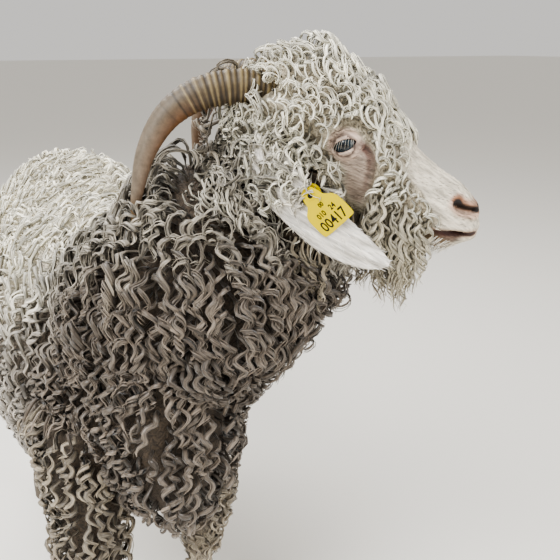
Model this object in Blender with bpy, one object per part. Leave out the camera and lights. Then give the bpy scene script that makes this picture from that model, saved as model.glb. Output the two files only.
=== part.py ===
"""A life-size angora goat doe, standing, with its head turned to its left.

Metres, +X towards the chest, +Y to the goat's left, +Z up. The goat is modelled round a point on the
floor under its barrel, and moved at the end so that the origin is under the middle of its box.
The body parts are lofts: rings set along a spine, each with a width, a height above and below the
spine, and the depth of the coat there. The fleece stands on them as clumps and locks that follow the
lie of the coat.
"""

import math
import random

import bmesh
import bpy
import numpy as np
from mathutils import Matrix, Vector

# Driving sizes of an adult doe, skin to skin.
HEAD_TURN = math.radians(53)
HEAD_DROP = math.radians(29)
HEAD_ROLL = math.radians(6)
EYE_CENTRE = Vector((0.362, 0.179, 0.762))
GAP = 0.0003
SLIVER = 0.000003
CORE_SHARE = 0.42
MM = 0.001

RIGHT, LEFT = -1, 1
random.seed(17)

# The coat's colours, from the photo.
FLEECE = (0.62, 0.58, 0.50)
FLEECE_LIGHT = (0.80, 0.78, 0.70)
FACE = (0.85, 0.83, 0.78)
HORN = (0.50, 0.41, 0.28)
HOOF = (0.16, 0.13, 0.10)
EYE = (0.10, 0.13, 0.15)
TAG = (0.85, 0.75, 0.05)


def clear_scene():
    for obj in list(bpy.data.objects):
        bpy.data.objects.remove(obj)


def material(name, colour, roughness):
    made = bpy.data.materials.new(name)
    made.use_nodes = True
    shader = made.node_tree.nodes["Principled BSDF"]
    shader.inputs["Base Color"].default_value = (*colour, 1.0)
    shader.inputs["Roughness"].default_value = roughness
    shader.inputs["Metallic"].default_value = 0.0
    return made


def mesh_object(name, points, faces, collection=None):
    """An object of a closed mesh whose normals are turned outwards."""
    mesh = bpy.data.meshes.new(name)
    shape = bmesh.new()
    corners = [shape.verts.new(p) for p in points]
    for face in faces:
        shape.faces.new([corners[i] for i in face])
    bmesh.ops.recalc_face_normals(shape, faces=shape.faces)
    bmesh.ops.triangulate(shape, faces=shape.faces)
    shape.to_mesh(mesh)
    shape.free()
    obj = bpy.data.objects.new(name, mesh)
    (collection or bpy.context.scene.collection).objects.link(obj)
    return obj


def ring_faces(rings, sides):
    """Faces of a tube of rings, closed by one pole point before the first and one after the last."""
    faces = []
    for r in range(rings - 1):
        for s in range(sides):
            after = (s + 1) % sides
            a, b = r * sides, (r + 1) * sides
            faces.append((a + s, a + after, b + after, b + s))
    first, last = rings * sides, rings * sides + 1
    end = (rings - 1) * sides
    for s in range(sides):
        after = (s + 1) % sides
        faces.append((first, after, s))
        faces.append((last, end + s, end + after))
    return faces


def smooth_row(rows, t):
    """The row at t from 0 to 1, on a smooth curve through the rows."""
    place = t * (len(rows) - 1)
    i = min(int(place), len(rows) - 2)
    f = place - i
    before, a, b, after = (rows[max(i - 1, 0)], rows[i], rows[i + 1], rows[min(i + 2, len(rows) - 1)])
    return 0.5 * (
        2 * a
        + (b - before) * f
        + (2 * before - 5 * a + 4 * b - after) * f * f
        + (3 * a - before - 3 * b + after) * f**3
    )


class Loft:
    """A body part: rows of centre x, y, z, half width, height above, height below, coat depth,
    how much the section narrows towards its top and its bottom, and how square it is below."""

    def __init__(self, rows, upright=None, place=None):
        self.rows = np.array([list(row) + [0.0] * (10 - len(row)) for row in rows], float)
        self.upright = upright
        self.place = place or Matrix.Identity(4)

    def spine(self, t):
        return Vector(smooth_row(self.rows, min(max(t, 0.0), 1.0))[:3])

    def axes(self, t):
        """Along the spine, to the left, and up, at t."""
        if self.upright:
            along = self.upright
        else:
            along = (self.spine(t + 0.02) - self.spine(t - 0.02)).normalized()
        left = Vector((0, 0, 1)).cross(along)
        if left.length < 0.2 or abs(along.z) > 0.9:
            left = Vector((0, 1, 0))
        left.normalize()
        return along, left, along.cross(left).normalized()

    def point(self, t, angle, share=CORE_SHARE):
        """The surface at t along the spine and angle from the left side up, with share of the coat."""
        row = smooth_row(self.rows, t)
        _, left, up = self.axes(t)
        coat = row[6] * share
        c, s = math.cos(angle), math.sin(angle)
        narrow = row[7] * s if s > 0 else -row[8] * s
        if s < 0 and row[9]:
            power = 1 / (1 + row[9])
            c, s = math.copysign(abs(c) ** power, c), -abs(s) ** power
        across = (row[3] + coat) * c * (1 - narrow)
        height = ((row[4] if s > 0 else row[5]) + coat) * s
        return self.place @ (Vector(row[:3]) + left * across + up * height)

    def normal(self, t, angle):
        step = 0.01
        along = self.point(min(t + step, 1), angle) - self.point(max(t - step, 0), angle)
        around = self.point(t, angle + step) - self.point(t, angle - step)
        out = around.cross(along).normalized()
        middle = self.place @ self.spine(t)
        return out if out.dot(self.point(t, angle) - middle) > 0 else -out

    def coat(self, t):
        return smooth_row(self.rows, t)[6] * self.place.to_scale().x

    def reach(self, axis, value):
        """How far along the spine a coordinate is met. The spine runs one way along that axis."""
        low, high = 0.0, 1.0
        rising = self.rows[-1][axis] > self.rows[0][axis]
        for _ in range(30):
            middle = (low + high) / 2
            if (self.spine(middle)[axis] < value) == rising:
                low = middle
            else:
                high = middle
        return low

    def solid(self, name, rings, sides, share=CORE_SHARE):
        points = []
        for r in range(rings):
            t = r / (rings - 1)
            points += [self.point(t, 2 * math.pi * s / sides, share) for s in range(sides)]
        for r in (0, rings - 1):
            ring = points[r * sides : (r + 1) * sides]
            points.append(sum(ring, Vector()) / sides)
        return mesh_object(name, points, ring_faces(rings, sides))


# The trunk, from the tail's root to the point of the breast.
TORSO = Loft(
    [
        (-0.392, 0.020, 0.535, 0.030, 0.035, 0.045, 0.030, 0, 0, 0),
        (-0.362, 0.020, 0.520, 0.080, 0.093, 0.100, 0.035, 0, 0, 0.1),
        (-0.285, 0.017, 0.500, 0.114, 0.143, 0.130, 0.040, 0, 0, 0.2),
        (-0.190, 0.012, 0.490, 0.122, 0.145, 0.132, 0.042, 0, 0, 0.3),
        (-0.090, 0.006, 0.480, 0.132, 0.138, 0.145, 0.045, 0, 0, 0.35),
        (0.020, 0, 0.475, 0.138, 0.137, 0.155, 0.045, 0, 0, 0.35),
        (0.120, 0, 0.475, 0.118, 0.142, 0.152, 0.045, 0, 0, 0.20),
        (0.200, 0, 0.475, 0.092, 0.142, 0.148, 0.044, 0, 0.15, 0),
        (0.270, 0, 0.470, 0.060, 0.115, 0.130, 0.044, 0, 0.25, 0),
        (0.314, 0, 0.455, 0.036, 0.080, 0.100, 0.042, 0, 0.25, 0),
        (0.334, 0, 0.445, 0.020, 0.040, 0.050, 0.040, 0, 0, 0),
    ],
    upright=Vector((1, 0, 0)),
)

# The neck, from inside the shoulders to the back of the skull. Below it hangs the mane.
NECK = Loft(
    [
        (0.140, 0.000, 0.480, 0.078, 0.090, 0.110, 0.042),
        (0.220, 0.014, 0.555, 0.074, 0.072, 0.100, 0.052),
        (0.278, 0.048, 0.625, 0.070, 0.062, 0.092, 0.056),
        (0.299, 0.092, 0.685, 0.036, 0.068, 0.104, 0.056),
        (0.315, 0.112, 0.745, 0.030, 0.068, 0.092, 0.052),
        (0.327, 0.131, 0.790, 0.034, 0.044, 0.060, 0.045),
    ]
)


def head_frame():
    """The head's own axes: x from the eyes to the muzzle, y to its left, z up through the brow."""
    turn = Matrix.Rotation(HEAD_TURN, 4, "Z")
    drop = Matrix.Rotation(HEAD_DROP, 4, "Y")
    roll = Matrix.Rotation(HEAD_ROLL, 4, "X")
    return Matrix.Translation(EYE_CENTRE) @ turn @ drop @ roll @ Matrix.Scale(MM, 4)


# The head, in millimetres in its own axes, from the nape to the lips.
HEAD = Loft(
    [
        (-112, 0, 0, 30, 16, 40, 12, 0.1, 0.1),
        (-98, 0, 0, 42, 30, 62, 16, 0.15, 0.2),
        (-72, 0, 0, 48, 44, 78, 30, 0.2, 0.3),
        (-40, 0, 0, 50, 44, 82, 28, 0.2, 0.4),
        (-8, 0, 0, 49, 38, 78, 22, 0.25, 0.45),
        (11, 0, 0, 46, 33, 75, 15, 0.3, 0.45),
        (28, 0, 0, 42, 32, 71, 8, 0.3, 0.45),
        (45, 0, 0, 36, 30, 67, 4, 0.35, 0.4),
        (67, 0, -5, 30, 27, 58, 2, 0.35, 0.35),
        (94, 0, -14, 26.5, 31, 43, 1.5, 0.3, 0.3),
        (118, 0, -16, 25, 31, 36, 1, 0.25, 0.25),
        (132, 0, -17, 24.5, 28, 32, 1, 0.2, 0.2),
        (146, 0, -18, 21, 22, 25, 1, 0.15, 0.2),
        (155, 0, -20, 15, 13, 15, 1, 0.1, 0.2),
        (160, 0, -22, 6, 5, 7, 1, 0.1, 0.2),
    ],
    upright=Vector((1, 0, 0)),
    place=head_frame(),
)


def boolean(obj, operation, other):
    """Joins other, an object or a collection, to obj, or cuts it away, and applies that."""
    modifier = obj.modifiers.new("joined", "BOOLEAN")
    modifier.operation = operation
    modifier.solver = "MANIFOLD"
    if isinstance(other, bpy.types.Collection):
        modifier.operand_type = "COLLECTION"
        modifier.collection = other
    else:
        modifier.object = other
    bpy.context.view_layer.objects.active = obj
    bpy.ops.object.modifier_apply(modifier=modifier.name)


def remove(objects):
    for obj in list(objects):
        bpy.data.objects.remove(obj)


def keep_largest(obj):
    """Leaves only the largest closed surface, so that sealed hollows and loose scraps go."""
    shape = bmesh.new()
    shape.from_mesh(obj.data)
    left = set(shape.faces)
    surfaces = []
    while left:
        found = [left.pop()]
        for face in found:
            for edge in face.edges:
                for near in edge.link_faces:
                    if near in left:
                        left.remove(near)
                        found.append(near)
        surfaces.append(found)
    surfaces.sort(key=lambda faces: -sum(face.calc_area() for face in faces))
    spare = [face for surface in surfaces[1:] for face in surface]
    bmesh.ops.delete(shape, geom=spare, context="FACES")
    bmesh.ops.triangulate(shape, faces=shape.faces)
    shape.to_mesh(obj.data)
    shape.free()


def drop_slivers(obj):
    """Merges the points that the cuts left closer together than anything real on the goat."""
    shape = bmesh.new()
    shape.from_mesh(obj.data)
    bmesh.ops.remove_doubles(shape, verts=shape.verts, dist=SLIVER)
    bmesh.ops.dissolve_degenerate(shape, dist=SLIVER / 2, edges=shape.edges)
    bmesh.ops.triangulate(shape, faces=shape.faces)
    shape.to_mesh(obj.data)
    shape.free()


def fuse(core, pieces):
    """Joins the closed pieces to their core, and leaves one closed body."""
    if pieces:
        group = bpy.data.collections.new("pieces")
        for piece in pieces:
            for owner in list(piece.users_collection):
                owner.objects.unlink(piece)
            group.objects.link(piece)
        boolean(core, "UNION", group)
        remove(group.objects)
        bpy.data.collections.remove(group)
    keep_largest(core)
    return core


def cut(obj, cutters):
    for cutter in cutters:
        boolean(obj, "DIFFERENCE", cutter)
    remove(cutters)
    keep_largest(obj)
    return obj


def box(low, high):
    """A box between two corners."""
    xs, ys, zs = zip(low, high)
    points = [Vector((x, y, z)) for x in xs for y in ys for z in zs]
    faces = [(0, 1, 3, 2), (4, 6, 7, 5), (0, 4, 5, 1), (2, 3, 7, 6), (0, 2, 6, 4), (1, 5, 7, 3)]
    return mesh_object("box", points, faces)


def beyond(point, normal, gap=GAP / 2):
    """A large block on the side of a plane that its normal points to, moved back by half the gap."""
    size = 1.2
    block = box((-size, -size, 0), (size, size, size))
    turn = normal.normalized().to_track_quat("Z", "Y").to_matrix().to_4x4()
    block.data.transform(Matrix.Translation(point - normal.normalized() * gap) @ turn)
    return block


# How far along a clump each ring sits, and its share of the width and of the thickness.
CLUMP_RINGS = ((0.32, 0.98, 0.98), (0.75, 0.80, 0.80))
CLUMP_SIDES = 5


def clump(root, out, lie, length, width, lift, sink=0.016):
    """A rounded clump: rooted in the coat's core, it bends over to its lie and ends in a blunt tip.
    Its top stands lift above the root."""
    lie = (lie - out * lie.dot(out)).normalized()
    thick = lift * 0.62
    start = root - out * sink - lie * (length * 0.30)
    over = root + out * (lift - thick) * 3.0 - lie * (length * 0.05)
    end = root - out * (thick * 0.10) + lie * (length * 0.70)
    side = out.cross(lie)
    points = []
    for t, wide, deep in CLUMP_RINGS:
        middle = start * (1 - t) ** 2 + over * 2 * t * (1 - t) + end * t * t
        along = ((over - start) * (1 - t) + (end - over) * t).normalized()
        face = side.cross(along).normalized()
        for s in range(CLUMP_SIDES):
            turn = 2 * math.pi * (s / CLUMP_SIDES + 0.25)
            across, above = width / 2 * wide * math.cos(turn), thick * deep * math.sin(turn)
            points.append(middle + side * across + face * above)
    points += [start, end]
    return mesh_object("clump", points, ring_faces(len(CLUMP_RINGS), CLUMP_SIDES))


def jitter(amount):
    return random.uniform(-amount, amount)


def coat_clumps(part, rows, lie_of, size_of):
    """Clumps on a loft in staggered rows: each row is t along it, how many, and the arc they fill."""
    made = []
    for number, (t, count, low, high) in enumerate(rows):
        step = (high - low) / count
        for n in range(count):
            angle = math.radians(low + step * (n + 0.5 + 0.25 * (number % 2 * 2 - 1)) + jitter(step * 0.12))
            at = min(max(t + jitter(0.008), 0.005), 0.995)
            root, out = part.point(at, angle), part.normal(at, angle)
            length, width = size_of(root, out)
            lift = part.coat(at) * (1 - CORE_SHARE) * (1 + jitter(0.14))
            made.append(clump(root, out, lie_of(root, out), length * (1 + jitter(0.14)), width, lift))
    return made


# The legs: rows from the body down to the hoof, with each foot's place under the goat.
KNEE, HOCK, CORONET = 0.190, 0.235, 0.038
FOOT = {
    ("fore", RIGHT): (0.240, -0.090),
    ("fore", LEFT): (0.175, 0.068),
    ("hind", RIGHT): (-0.315, -0.078),
    ("hind", LEFT): (-0.265, 0.102),
}


def foreleg_rows(x, y):
    """Rows of a foreleg: x, y, z, half width, half depth before and behind, coat."""
    lean = x - 0.205
    return [
        (0.190 + lean * 0.3, y * 0.92, 0.440, 0.036, 0.050, 0.055, 0.026),
        (0.192 + lean * 0.4, y * 0.96, 0.350, 0.031, 0.044, 0.046, 0.026),
        (0.200 + lean * 0.6, y, 0.280, 0.025, 0.030, 0.032, 0.026),
        (0.204 + lean * 0.8, y, 0.225, 0.022, 0.024, 0.023, 0.022),
        (0.206 + lean * 0.85, y, 0.198, 0.021, 0.024, 0.021, 0.012),
        (0.201 + lean * 0.9, y, 0.165, 0.015, 0.016, 0.017, 0.006),
        (0.198 + lean, y, 0.105, 0.0145, 0.015, 0.017, 0.004),
        (0.198 + lean, y, 0.080, 0.018, 0.018, 0.022, 0.004),
        (0.206 + lean, y, 0.055, 0.019, 0.018, 0.020, 0.003),
        (0.214 + lean, y, 0.036, 0.023, 0.024, 0.026, 0.001),
        (0.216 + lean, y, 0.025, 0.023, 0.024, 0.026, 0.001),
    ]


def hindleg_rows(x, y):
    """Rows of a hind leg, from inside the thigh down to the hoof."""
    lean = x + 0.290
    return [
        (-0.235 + lean * 0.2, y * 0.97, 0.470, 0.046, 0.095, 0.088, 0.030),
        (-0.232 + lean * 0.3, y * 1.02, 0.400, 0.046, 0.080, 0.080, 0.034),
        (-0.242 + lean * 0.4, y * 1.03, 0.345, 0.038, 0.058, 0.064, 0.034),
        (-0.272 + lean * 0.5, y * 1.01, 0.290, 0.027, 0.035, 0.042, 0.030),
        (-0.306 + lean * 0.7, y, 0.250, 0.020, 0.022, 0.030, 0.020),
        (-0.320 + lean * 0.8, y, 0.222, 0.018, 0.022, 0.022, 0.010),
        (-0.316 + lean * 0.9, y, 0.170, 0.015, 0.017, 0.018, 0.006),
        (-0.306 + lean, y, 0.110, 0.0145, 0.016, 0.017, 0.004),
        (-0.300 + lean, y, 0.080, 0.018, 0.018, 0.022, 0.004),
        (-0.291 + lean, y, 0.055, 0.019, 0.018, 0.020, 0.003),
        (-0.283 + lean, y, 0.036, 0.023, 0.024, 0.026, 0.001),
        (-0.281 + lean, y, 0.025, 0.023, 0.024, 0.026, 0.001),
    ]


class Leg(Loft):
    """A leg's rings lie level, each with its half depth before and behind the bone."""

    def axes(self, t):
        return Vector((0, 0, -1)), Vector((0, 1, 0)), Vector((1, 0, 0))


LEGS = {}
for (kind, side), (x, y) in FOOT.items():
    LEGS[kind, side] = Leg(foreleg_rows(x, y) if kind == "fore" else hindleg_rows(x, y))

TAIL = Loft(
    [
        (-0.340, 0.018, 0.585, 0.028, 0.022, 0.022, 0.016),
        (-0.385, 0.020, 0.606, 0.024, 0.018, 0.018, 0.020),
        (-0.418, 0.021, 0.604, 0.019, 0.014, 0.014, 0.022),
        (-0.442, 0.022, 0.588, 0.010, 0.008, 0.008, 0.020),
    ]
)


def torso_lie(root, out):
    if abs(out.z) < 0.93:
        return Vector((-0.35, 0, -1))
    return Vector((-0.6, 0.8 * (1 if root.y > 0 else -1), -0.3))


def torso_size(root, out):
    front = max(0.0, (root.x - 0.05) / 0.3)
    return 0.145 - 0.025 * front, 0.087


def trunk_coat():
    rows = [(-0.345, 5), (-0.270, 6), (-0.190, 7), (-0.110, 6), (-0.030, 7)]
    rows += [(0.050, 6), (0.130, 7), (0.205, 6), (0.270, 5), (0.316, 3)]
    made = coat_clumps(TORSO, [(TORSO.reach(0, x), n, 0, 360) for x, n in rows], torso_lie, torso_size)
    breast = TORSO.spine(1.0)
    made.append(clump(breast, Vector((1, 0, 0)), Vector((0, 0, -1)), 0.10, 0.070, 0.022))
    return made


def neck_coat():
    rows = [(0.24, 5, 0, 360), (0.41, 6, 0, 360), (0.58, 6, 0, 360), (0.75, 5, 0, 360)]
    return coat_clumps(NECK, rows, lambda root, out: Vector((-0.1, 0, -1)), lambda root, out: (0.086, 0.092))


def leg_coat(kind, side):
    part = LEGS[kind, side]
    levels = [(0.315, 3), (0.245, 2)] if kind == "fore" else [(0.360, 3), (0.290, 2)]
    rows = [(part.reach(2, z), n, 0, 360) for z, n in levels]
    return coat_clumps(part, rows, lambda root, out: Vector((0, 0, -1)), lambda root, out: (0.074, 0.078))


def tail_coat():
    lie = Vector((-1, 0, -0.5))
    rows = [(0.45, 3, 0, 360), (0.85, 1, 0, 360)]
    return coat_clumps(TAIL, rows, lambda root, out: lie, lambda root, out: (0.048, 0.046))


def heading(line, t):
    """The way that a line of rows runs at t."""
    before, after = smooth_row(line, max(t - 0.02, 0)), smooth_row(line, min(t + 0.02, 1))
    return (Vector(after[:3]) - Vector(before[:3])).normalized()


# The horn's own line in the head's millimetres, for the left side, with its radius at each point.
HORN_LINE = [
    (-48, 20, 18, 18.5),
    (-72, 26, 11, 18.5),
    (-98, 34, 3, 18.0),
    (-124, 44, -9, 17.3),
    (-147, 56, -29, 15.8),
    (-161, 69, -58, 13.2),
    (-162, 81, -95, 9.8),
    (-151, 91, -134, 6.0),
    (-140, 96, -164, 2.2),
]


def horn(side, name, grow=0.0, rings=24, sides=8):
    """A horn: an oval tube on its line, thinning to the tip, with growth rings in its lower half."""
    line = np.array([(x, side * y, z, r) for x, y, z, r in HORN_LINE], float)
    place = head_frame()
    points = []
    for r in range(rings):
        t = r / (rings - 1)
        x, y, z, radius = smooth_row(line, t)
        along = heading(line, t)
        across = Vector((0, 1, 0)).cross(along).normalized()
        upward = along.cross(across)
        ridge = 0.7 * (1 if r % 2 else -1) * max(0.0, 1 - t * 1.3) if grow == 0 else 0.7
        for s in range(sides):
            turn = 2 * math.pi * s / sides
            size = radius + ridge + grow
            offset = across * (size * math.cos(turn)) + upward * (size * 0.82 * math.sin(turn))
            points.append(place @ (Vector((x, y, z)) + offset))
    points += [place @ Vector(line[0][:3]), place @ Vector(line[-1][:3])]
    return mesh_object(name, points, ring_faces(rings, sides))


# The ear's midline in the head's millimetres, for the left side, with its half width at each point.
EAR_LINE = [
    (-70, 36, -14, 13),
    (-70, 52, -26, 16),
    (-58, 65, -44, 20),
    (-36, 73, -57, 23),
    (-8, 77, -65, 23),
    (20, 78, -70, 23),
    (46, 77, -73, 21),
    (70, 75, -74, 16),
    (86, 73, -72, 9),
    (95, 71, -70, 3),
]
EAR_THICK = 3.2
EAR_BARE = 0.30


def ear(side, name, grow=0.0, clear=0.0):
    """A long hanging ear: a cupped leaf that leaves the skull, drops and turns forward to its tip.
    As a cutter it is grown, and cleared outwards past where the wool covers its root."""
    line = np.array([(x, side * y, z, w) for x, y, z, w in EAR_LINE], float)
    place = head_frame()
    rings, half = 14, 4
    points = []
    for r in range(rings):
        t = r / (rings - 1)
        x, y, z, wide = smooth_row(line, t)
        along = heading(line, t)
        out = Vector((-0.2, side, 0.12))
        out = (out - along * out.dot(along)).normalized()
        across = along.cross(out).normalized()
        wide = wide + grow
        thick = EAR_THICK * (1 - 0.35 * t) / 2
        cup = 0.22 * wide
        raised = clear * min(1.0, max(0.0, (t - EAR_BARE) / 0.12))
        for n in range(2 * half):
            face = 1 if n < half else -1
            s = n % half
            u = (-1 + 2 * (s + 0.5) / half) * face
            rim = 1 - 0.55 * abs(u) ** 2
            depth = -cup * u * u + face * (thick * rim + grow)
            if face == 1:
                depth += raised
            points.append(place @ (Vector((x, y, z)) + across * (wide * u) + out * depth))
    sides = 2 * half
    points += [sum(points[:sides], Vector()) / sides, sum(points[-sides:], Vector()) / sides]
    return mesh_object(name, points, ring_faces(rings, sides))


EYE_PLACE = Vector((0, 38.5, 1))
EYE_RADIUS = 14.0


def ball(name, centre, radius, place):
    segments, rings = 12, 8
    points = []
    for r in range(1, rings):
        turn = math.pi * r / rings
        for s in range(segments):
            around = 2 * math.pi * s / segments
            far = radius * math.sin(turn)
            ray = Vector((radius * math.cos(turn), far * math.cos(around), far * math.sin(around)))
            points.append(place @ (centre + ray))
    points += [place @ (centre + Vector((radius, 0, 0))), place @ (centre - Vector((radius, 0, 0)))]
    return mesh_object(name, points, ring_faces(rings - 1, segments))


def on_side(point, side):
    return Vector((point.x, point.y * side, point.z))


def eye_opening(side):
    """The almond between the lids, as a block that opens the lids from outside."""
    place = head_frame()
    length, height, sides = 11.5, 6.6, 16
    slant = math.radians(42)
    depths = (5, 48)
    centre = on_side(EYE_PLACE, side)
    points = []
    for depth in depths:
        for s in range(sides):
            turn = 2 * math.pi * s / sides
            x = length * math.cos(turn)
            z = height * math.sin(turn) * (1 - 0.35 * abs(math.cos(turn)) ** 3)
            if z < 0:
                z *= 0.85
            across = x * math.cos(slant) - z * math.sin(slant)
            upward = x * math.sin(slant) + z * math.cos(slant)
            points.append(place @ (centre + Vector((across, side * depth, upward))))
    points += [place @ (centre + Vector((0, side * depth, 0))) for depth in depths]
    return mesh_object("eye_opening", points, ring_faces(2, sides))


def tube_cutter(line, radius, place, sides=6):
    """A closed tube through the points, pointed at both ends."""
    points = []
    for n, middle in enumerate(line):
        before, after = line[max(n - 1, 0)], line[min(n + 1, len(line) - 1)]
        along = (after - before).normalized()
        side = along.cross(Vector((0, 0, 1))).normalized()
        up = side.cross(along)
        end = n in (0, len(line) - 1)
        for s in range(sides):
            turn = 2 * math.pi * s / sides
            wide, high = (radius[0] * 0.4, radius[1] * 0.4) if end else radius
            points.append(place @ (middle + side * (wide * math.cos(turn)) + up * (high * math.sin(turn))))
    points += [place @ line[0], place @ line[-1]]
    return mesh_object("groove", points, ring_faces(len(line), sides))


def mouth_groove():
    """The line of the mouth, from one corner round the front of the lips to the other."""
    line = []
    for n in range(13):
        turn = math.pi * (n / 12 - 0.5)
        forward = math.cos(turn) ** 0.7 if abs(turn) < math.pi / 2 - 0.01 else 0.0
        line.append(Vector((112 + 43 * forward, 26 * math.sin(turn), -41 + 23 * forward)))
    return tube_cutter(line, (4.0, 1.5), head_frame())


def nostril(side):
    """A nostril: a slanting comma-shaped pit."""
    line = [(126, side * 23, 4), (133, side * 19.5, 0), (141, side * 15, -4), (148, side * 10, -8)]
    return tube_cutter([Vector(p) for p in line], (4.6, 2.8), head_frame())


def hanging(root, out):
    return Vector((0, 0, -1))


def head_lie(root, out):
    """Forward and to the sides over the brow, and down and forward on the cheek and jaw."""
    place = head_frame().to_3x3().normalized()
    local = place.transposed() @ out
    if local.z > 0.35:
        return place @ Vector((0.8, local.y * 1.2, 0.15))
    return place @ Vector((0.45, 0, -1))


TOPKNOT = ((-84, 3, 35, 145), (-50, 5, -5, 185), (-16, 5, 5, 175), (13, 3, 30, 150))
CHEEK = ((-66, 2), (-26, 2))
FORE_CHEEK = (44,)
JAW = (-34, 24, 74)
THROAT = (72, 104)


def head_coat():
    """The topknot, the cheeks and the locks that hang from the jaw."""
    made = []
    place = head_frame().to_3x3().normalized()

    def place_clump(x, degrees, length, width, lift, lie_of, aside=None):
        t = HEAD.reach(0, x)
        angle = math.radians(degrees)
        root, out = HEAD.point(t, angle, 0.3), HEAD.normal(t, angle)
        if aside is not None:
            out = (place @ Vector((0.15, aside, 0.2))).normalized()
        lengths = (length * MM * (1 + jitter(0.1)), width * MM, lift * MM * (1 + jitter(0.15)))
        made.append(clump(root, out, lie_of(root, out), *lengths, sink=0.010))

    for number, (x, count, low, high) in enumerate(TOPKNOT):
        step = (high - low) / count
        size = 56 - 4 * number
        for n in range(count):
            place_clump(x, low + step * (n + 0.5) + jitter(5), size, size, 0.38 * size, head_lie)
    for side in (LEFT, RIGHT):
        for x, count in CHEEK:
            for n in range(count):
                down = -15 - 36 * n + jitter(5)
                place_clump(x, down if side == LEFT else 180 - down, 50, 50, 20, head_lie)
        for x in FORE_CHEEK:
            down = -20 + jitter(6)
            place_clump(x, down if side == LEFT else 180 - down, 50, 42, 9, head_lie)
        for x in JAW:
            down = -62 + jitter(5)
            place_clump(x, down if side == LEFT else 180 - down, 80, 54, 16, hanging, aside=side)
    for x in THROAT:
        place_clump(x, -90, 122, 54, 24, hanging, aside=LEFT)
    made.append(chin_tuft())
    return made


def chin_tuft():
    place = head_frame()
    root = place @ Vector((140, 0, -38))
    down = (place.to_3x3() @ Vector((0.5, 0, -1))).normalized()
    return clump(root, down, place.to_3x3() @ Vector((0.6, 0, -1)), 0.020, 0.018, 0.012, sink=0.008)


def flesh():
    """The whole goat but for its eyes, horns, ears and hooves, as one closed body in its fleece."""
    place = head_frame()
    core = TORSO.solid("flesh", 15, 12)
    pieces = [NECK.solid("neck_core", 8, 12), HEAD.solid("head_core", 24, 16, share=0.3)]
    pieces.append(TAIL.solid("tail_core", 6, 8))
    pieces += [ball("lids", on_side(EYE_PLACE, side), EYE_RADIUS + 2.0, place) for side in (LEFT, RIGHT)]
    for (kind, side), part in LEGS.items():
        pieces.append(part.solid("leg_core", 16, 8))
        pieces += leg_coat(kind, side)
    pieces += trunk_coat() + neck_coat() + head_coat() + tail_coat()
    return fuse(core, pieces)


def eye(side, name):
    return ball(name, on_side(EYE_PLACE, side), EYE_RADIUS, head_frame())


# The ear tag, in the head's millimetres: a flag plate and a round back plate on one stud.
TAG_HOLE = Vector((-4, -81.4, -53))
TAG_TURN = math.radians(-70)
TAG_THICK = 1.6
STUD_RADIUS = 2.6
STUD_LENGTH = 8.6
BUTTON_RADIUS = 11.5


def prism(name, outline, low, high, place):
    """A flat plate: an outline in x and z, between two depths in y."""
    points = [place @ Vector((x, y, z)) for y in (low, high) for x, z in outline]
    count = len(outline)
    faces = [tuple(range(count)), tuple(range(2 * count - 1, count - 1, -1))]
    faces += [(n, (n + 1) % count, count + (n + 1) % count, count + n) for n in range(count)]
    return mesh_object(name, points, faces)


def disc(radius, sides):
    turns = [2 * math.pi * n / sides for n in range(sides)]
    return [(radius * math.cos(turn), radius * math.sin(turn)) for turn in turns]


def tag_place():
    return head_frame() @ Matrix.Translation(TAG_HOLE) @ Matrix.Rotation(TAG_TURN, 4, "Y")


def tag_outline(grow=0.0):
    """The flag: a round neck for the stud, sloping shoulders and a broad lower end."""
    right = [(6, 6.5), (8.8, 0), (10, -7), (17, -12), (19.5, -18), (19.5, -38), (17, -40.5)]
    outline = [(x + grow, z + (grow if z > 0 else -grow if z < -30 else 0)) for x, z in right]
    return [(0, 9 + grow), *outline, *[(-x, z) for x, z in reversed(outline)]]


def tag_plate(name, spare=0.0, outward=0.0):
    """The flag plate with its stud, which runs through the ear. Spare room is for a cutter."""
    place = tag_place()
    plate = prism(name, tag_outline(spare), -TAG_THICK - spare - outward, spare, place)
    stud = prism("stud", disc(STUD_RADIUS + spare, 14), -0.4, STUD_LENGTH + spare, place)
    boolean(plate, "UNION", stud)
    remove([stud])
    return plate


def tag_button(name, spare=0.0):
    """The round plate behind the ear, with a hole that the stud's tip stands in."""
    place = tag_place()
    near, far = STUD_LENGTH - 2.2 - spare, STUD_LENGTH + 1.4 + spare
    button = prism(name, disc(BUTTON_RADIUS + spare, 20), near, far, place)
    if not spare:
        hole = prism("hole", disc(STUD_RADIUS + GAP / MM, 14), near - 1, STUD_LENGTH + GAP / MM, place)
        boolean(button, "DIFFERENCE", hole)
        remove([hole])
    return button


# Where the body is parted into its nodes.
NECK_ROOT = (Vector((0.232, 0.005, 0.560)), Vector((0.62, 0.12, 0.77)))
HEAD_CORNER = Vector((-99, 0, -102))
HEAD_BOX_TURN = math.radians(10)
FORE_BOX = ((0.110, 0.022, -0.1), (0.330, 0.300, 0.355))
HIND_BOX = ((-0.430, 0.022, -0.1), (-0.125, 0.300, 0.395))
TAIL_CUT = (Vector((-0.378, 0, 0.600)), Vector((-1, 0, 0.2)))


def head_box(grow):
    """The block that holds the head: it starts behind the poll and ends below the hanging jaw locks."""
    block = box((-grow, -400, -grow), (500, 400, 500))
    turn = Matrix.Translation(HEAD_CORNER) @ Matrix.Rotation(HEAD_BOX_TURN, 4, "Y")
    block.data.transform(head_frame() @ turn)
    return block


def leg_box(kind, side, grow):
    """The block that holds one leg, from the elbow or the stifle down."""
    low, high = FORE_BOX if kind == "fore" else HIND_BOX
    ys = sorted((side * (low[1] - grow), side * high[1]))
    return box((low[0] - grow, ys[0], low[2]), (high[0] + grow, ys[1], high[2] + grow))


def copy_of(obj, name):
    made = bpy.data.objects.new(name, obj.data.copy())
    bpy.context.scene.collection.objects.link(made)
    return made


def keep_inside(obj, block):
    boolean(obj, "INTERSECT", block)
    remove([block])
    keep_largest(obj)
    return obj


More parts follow.
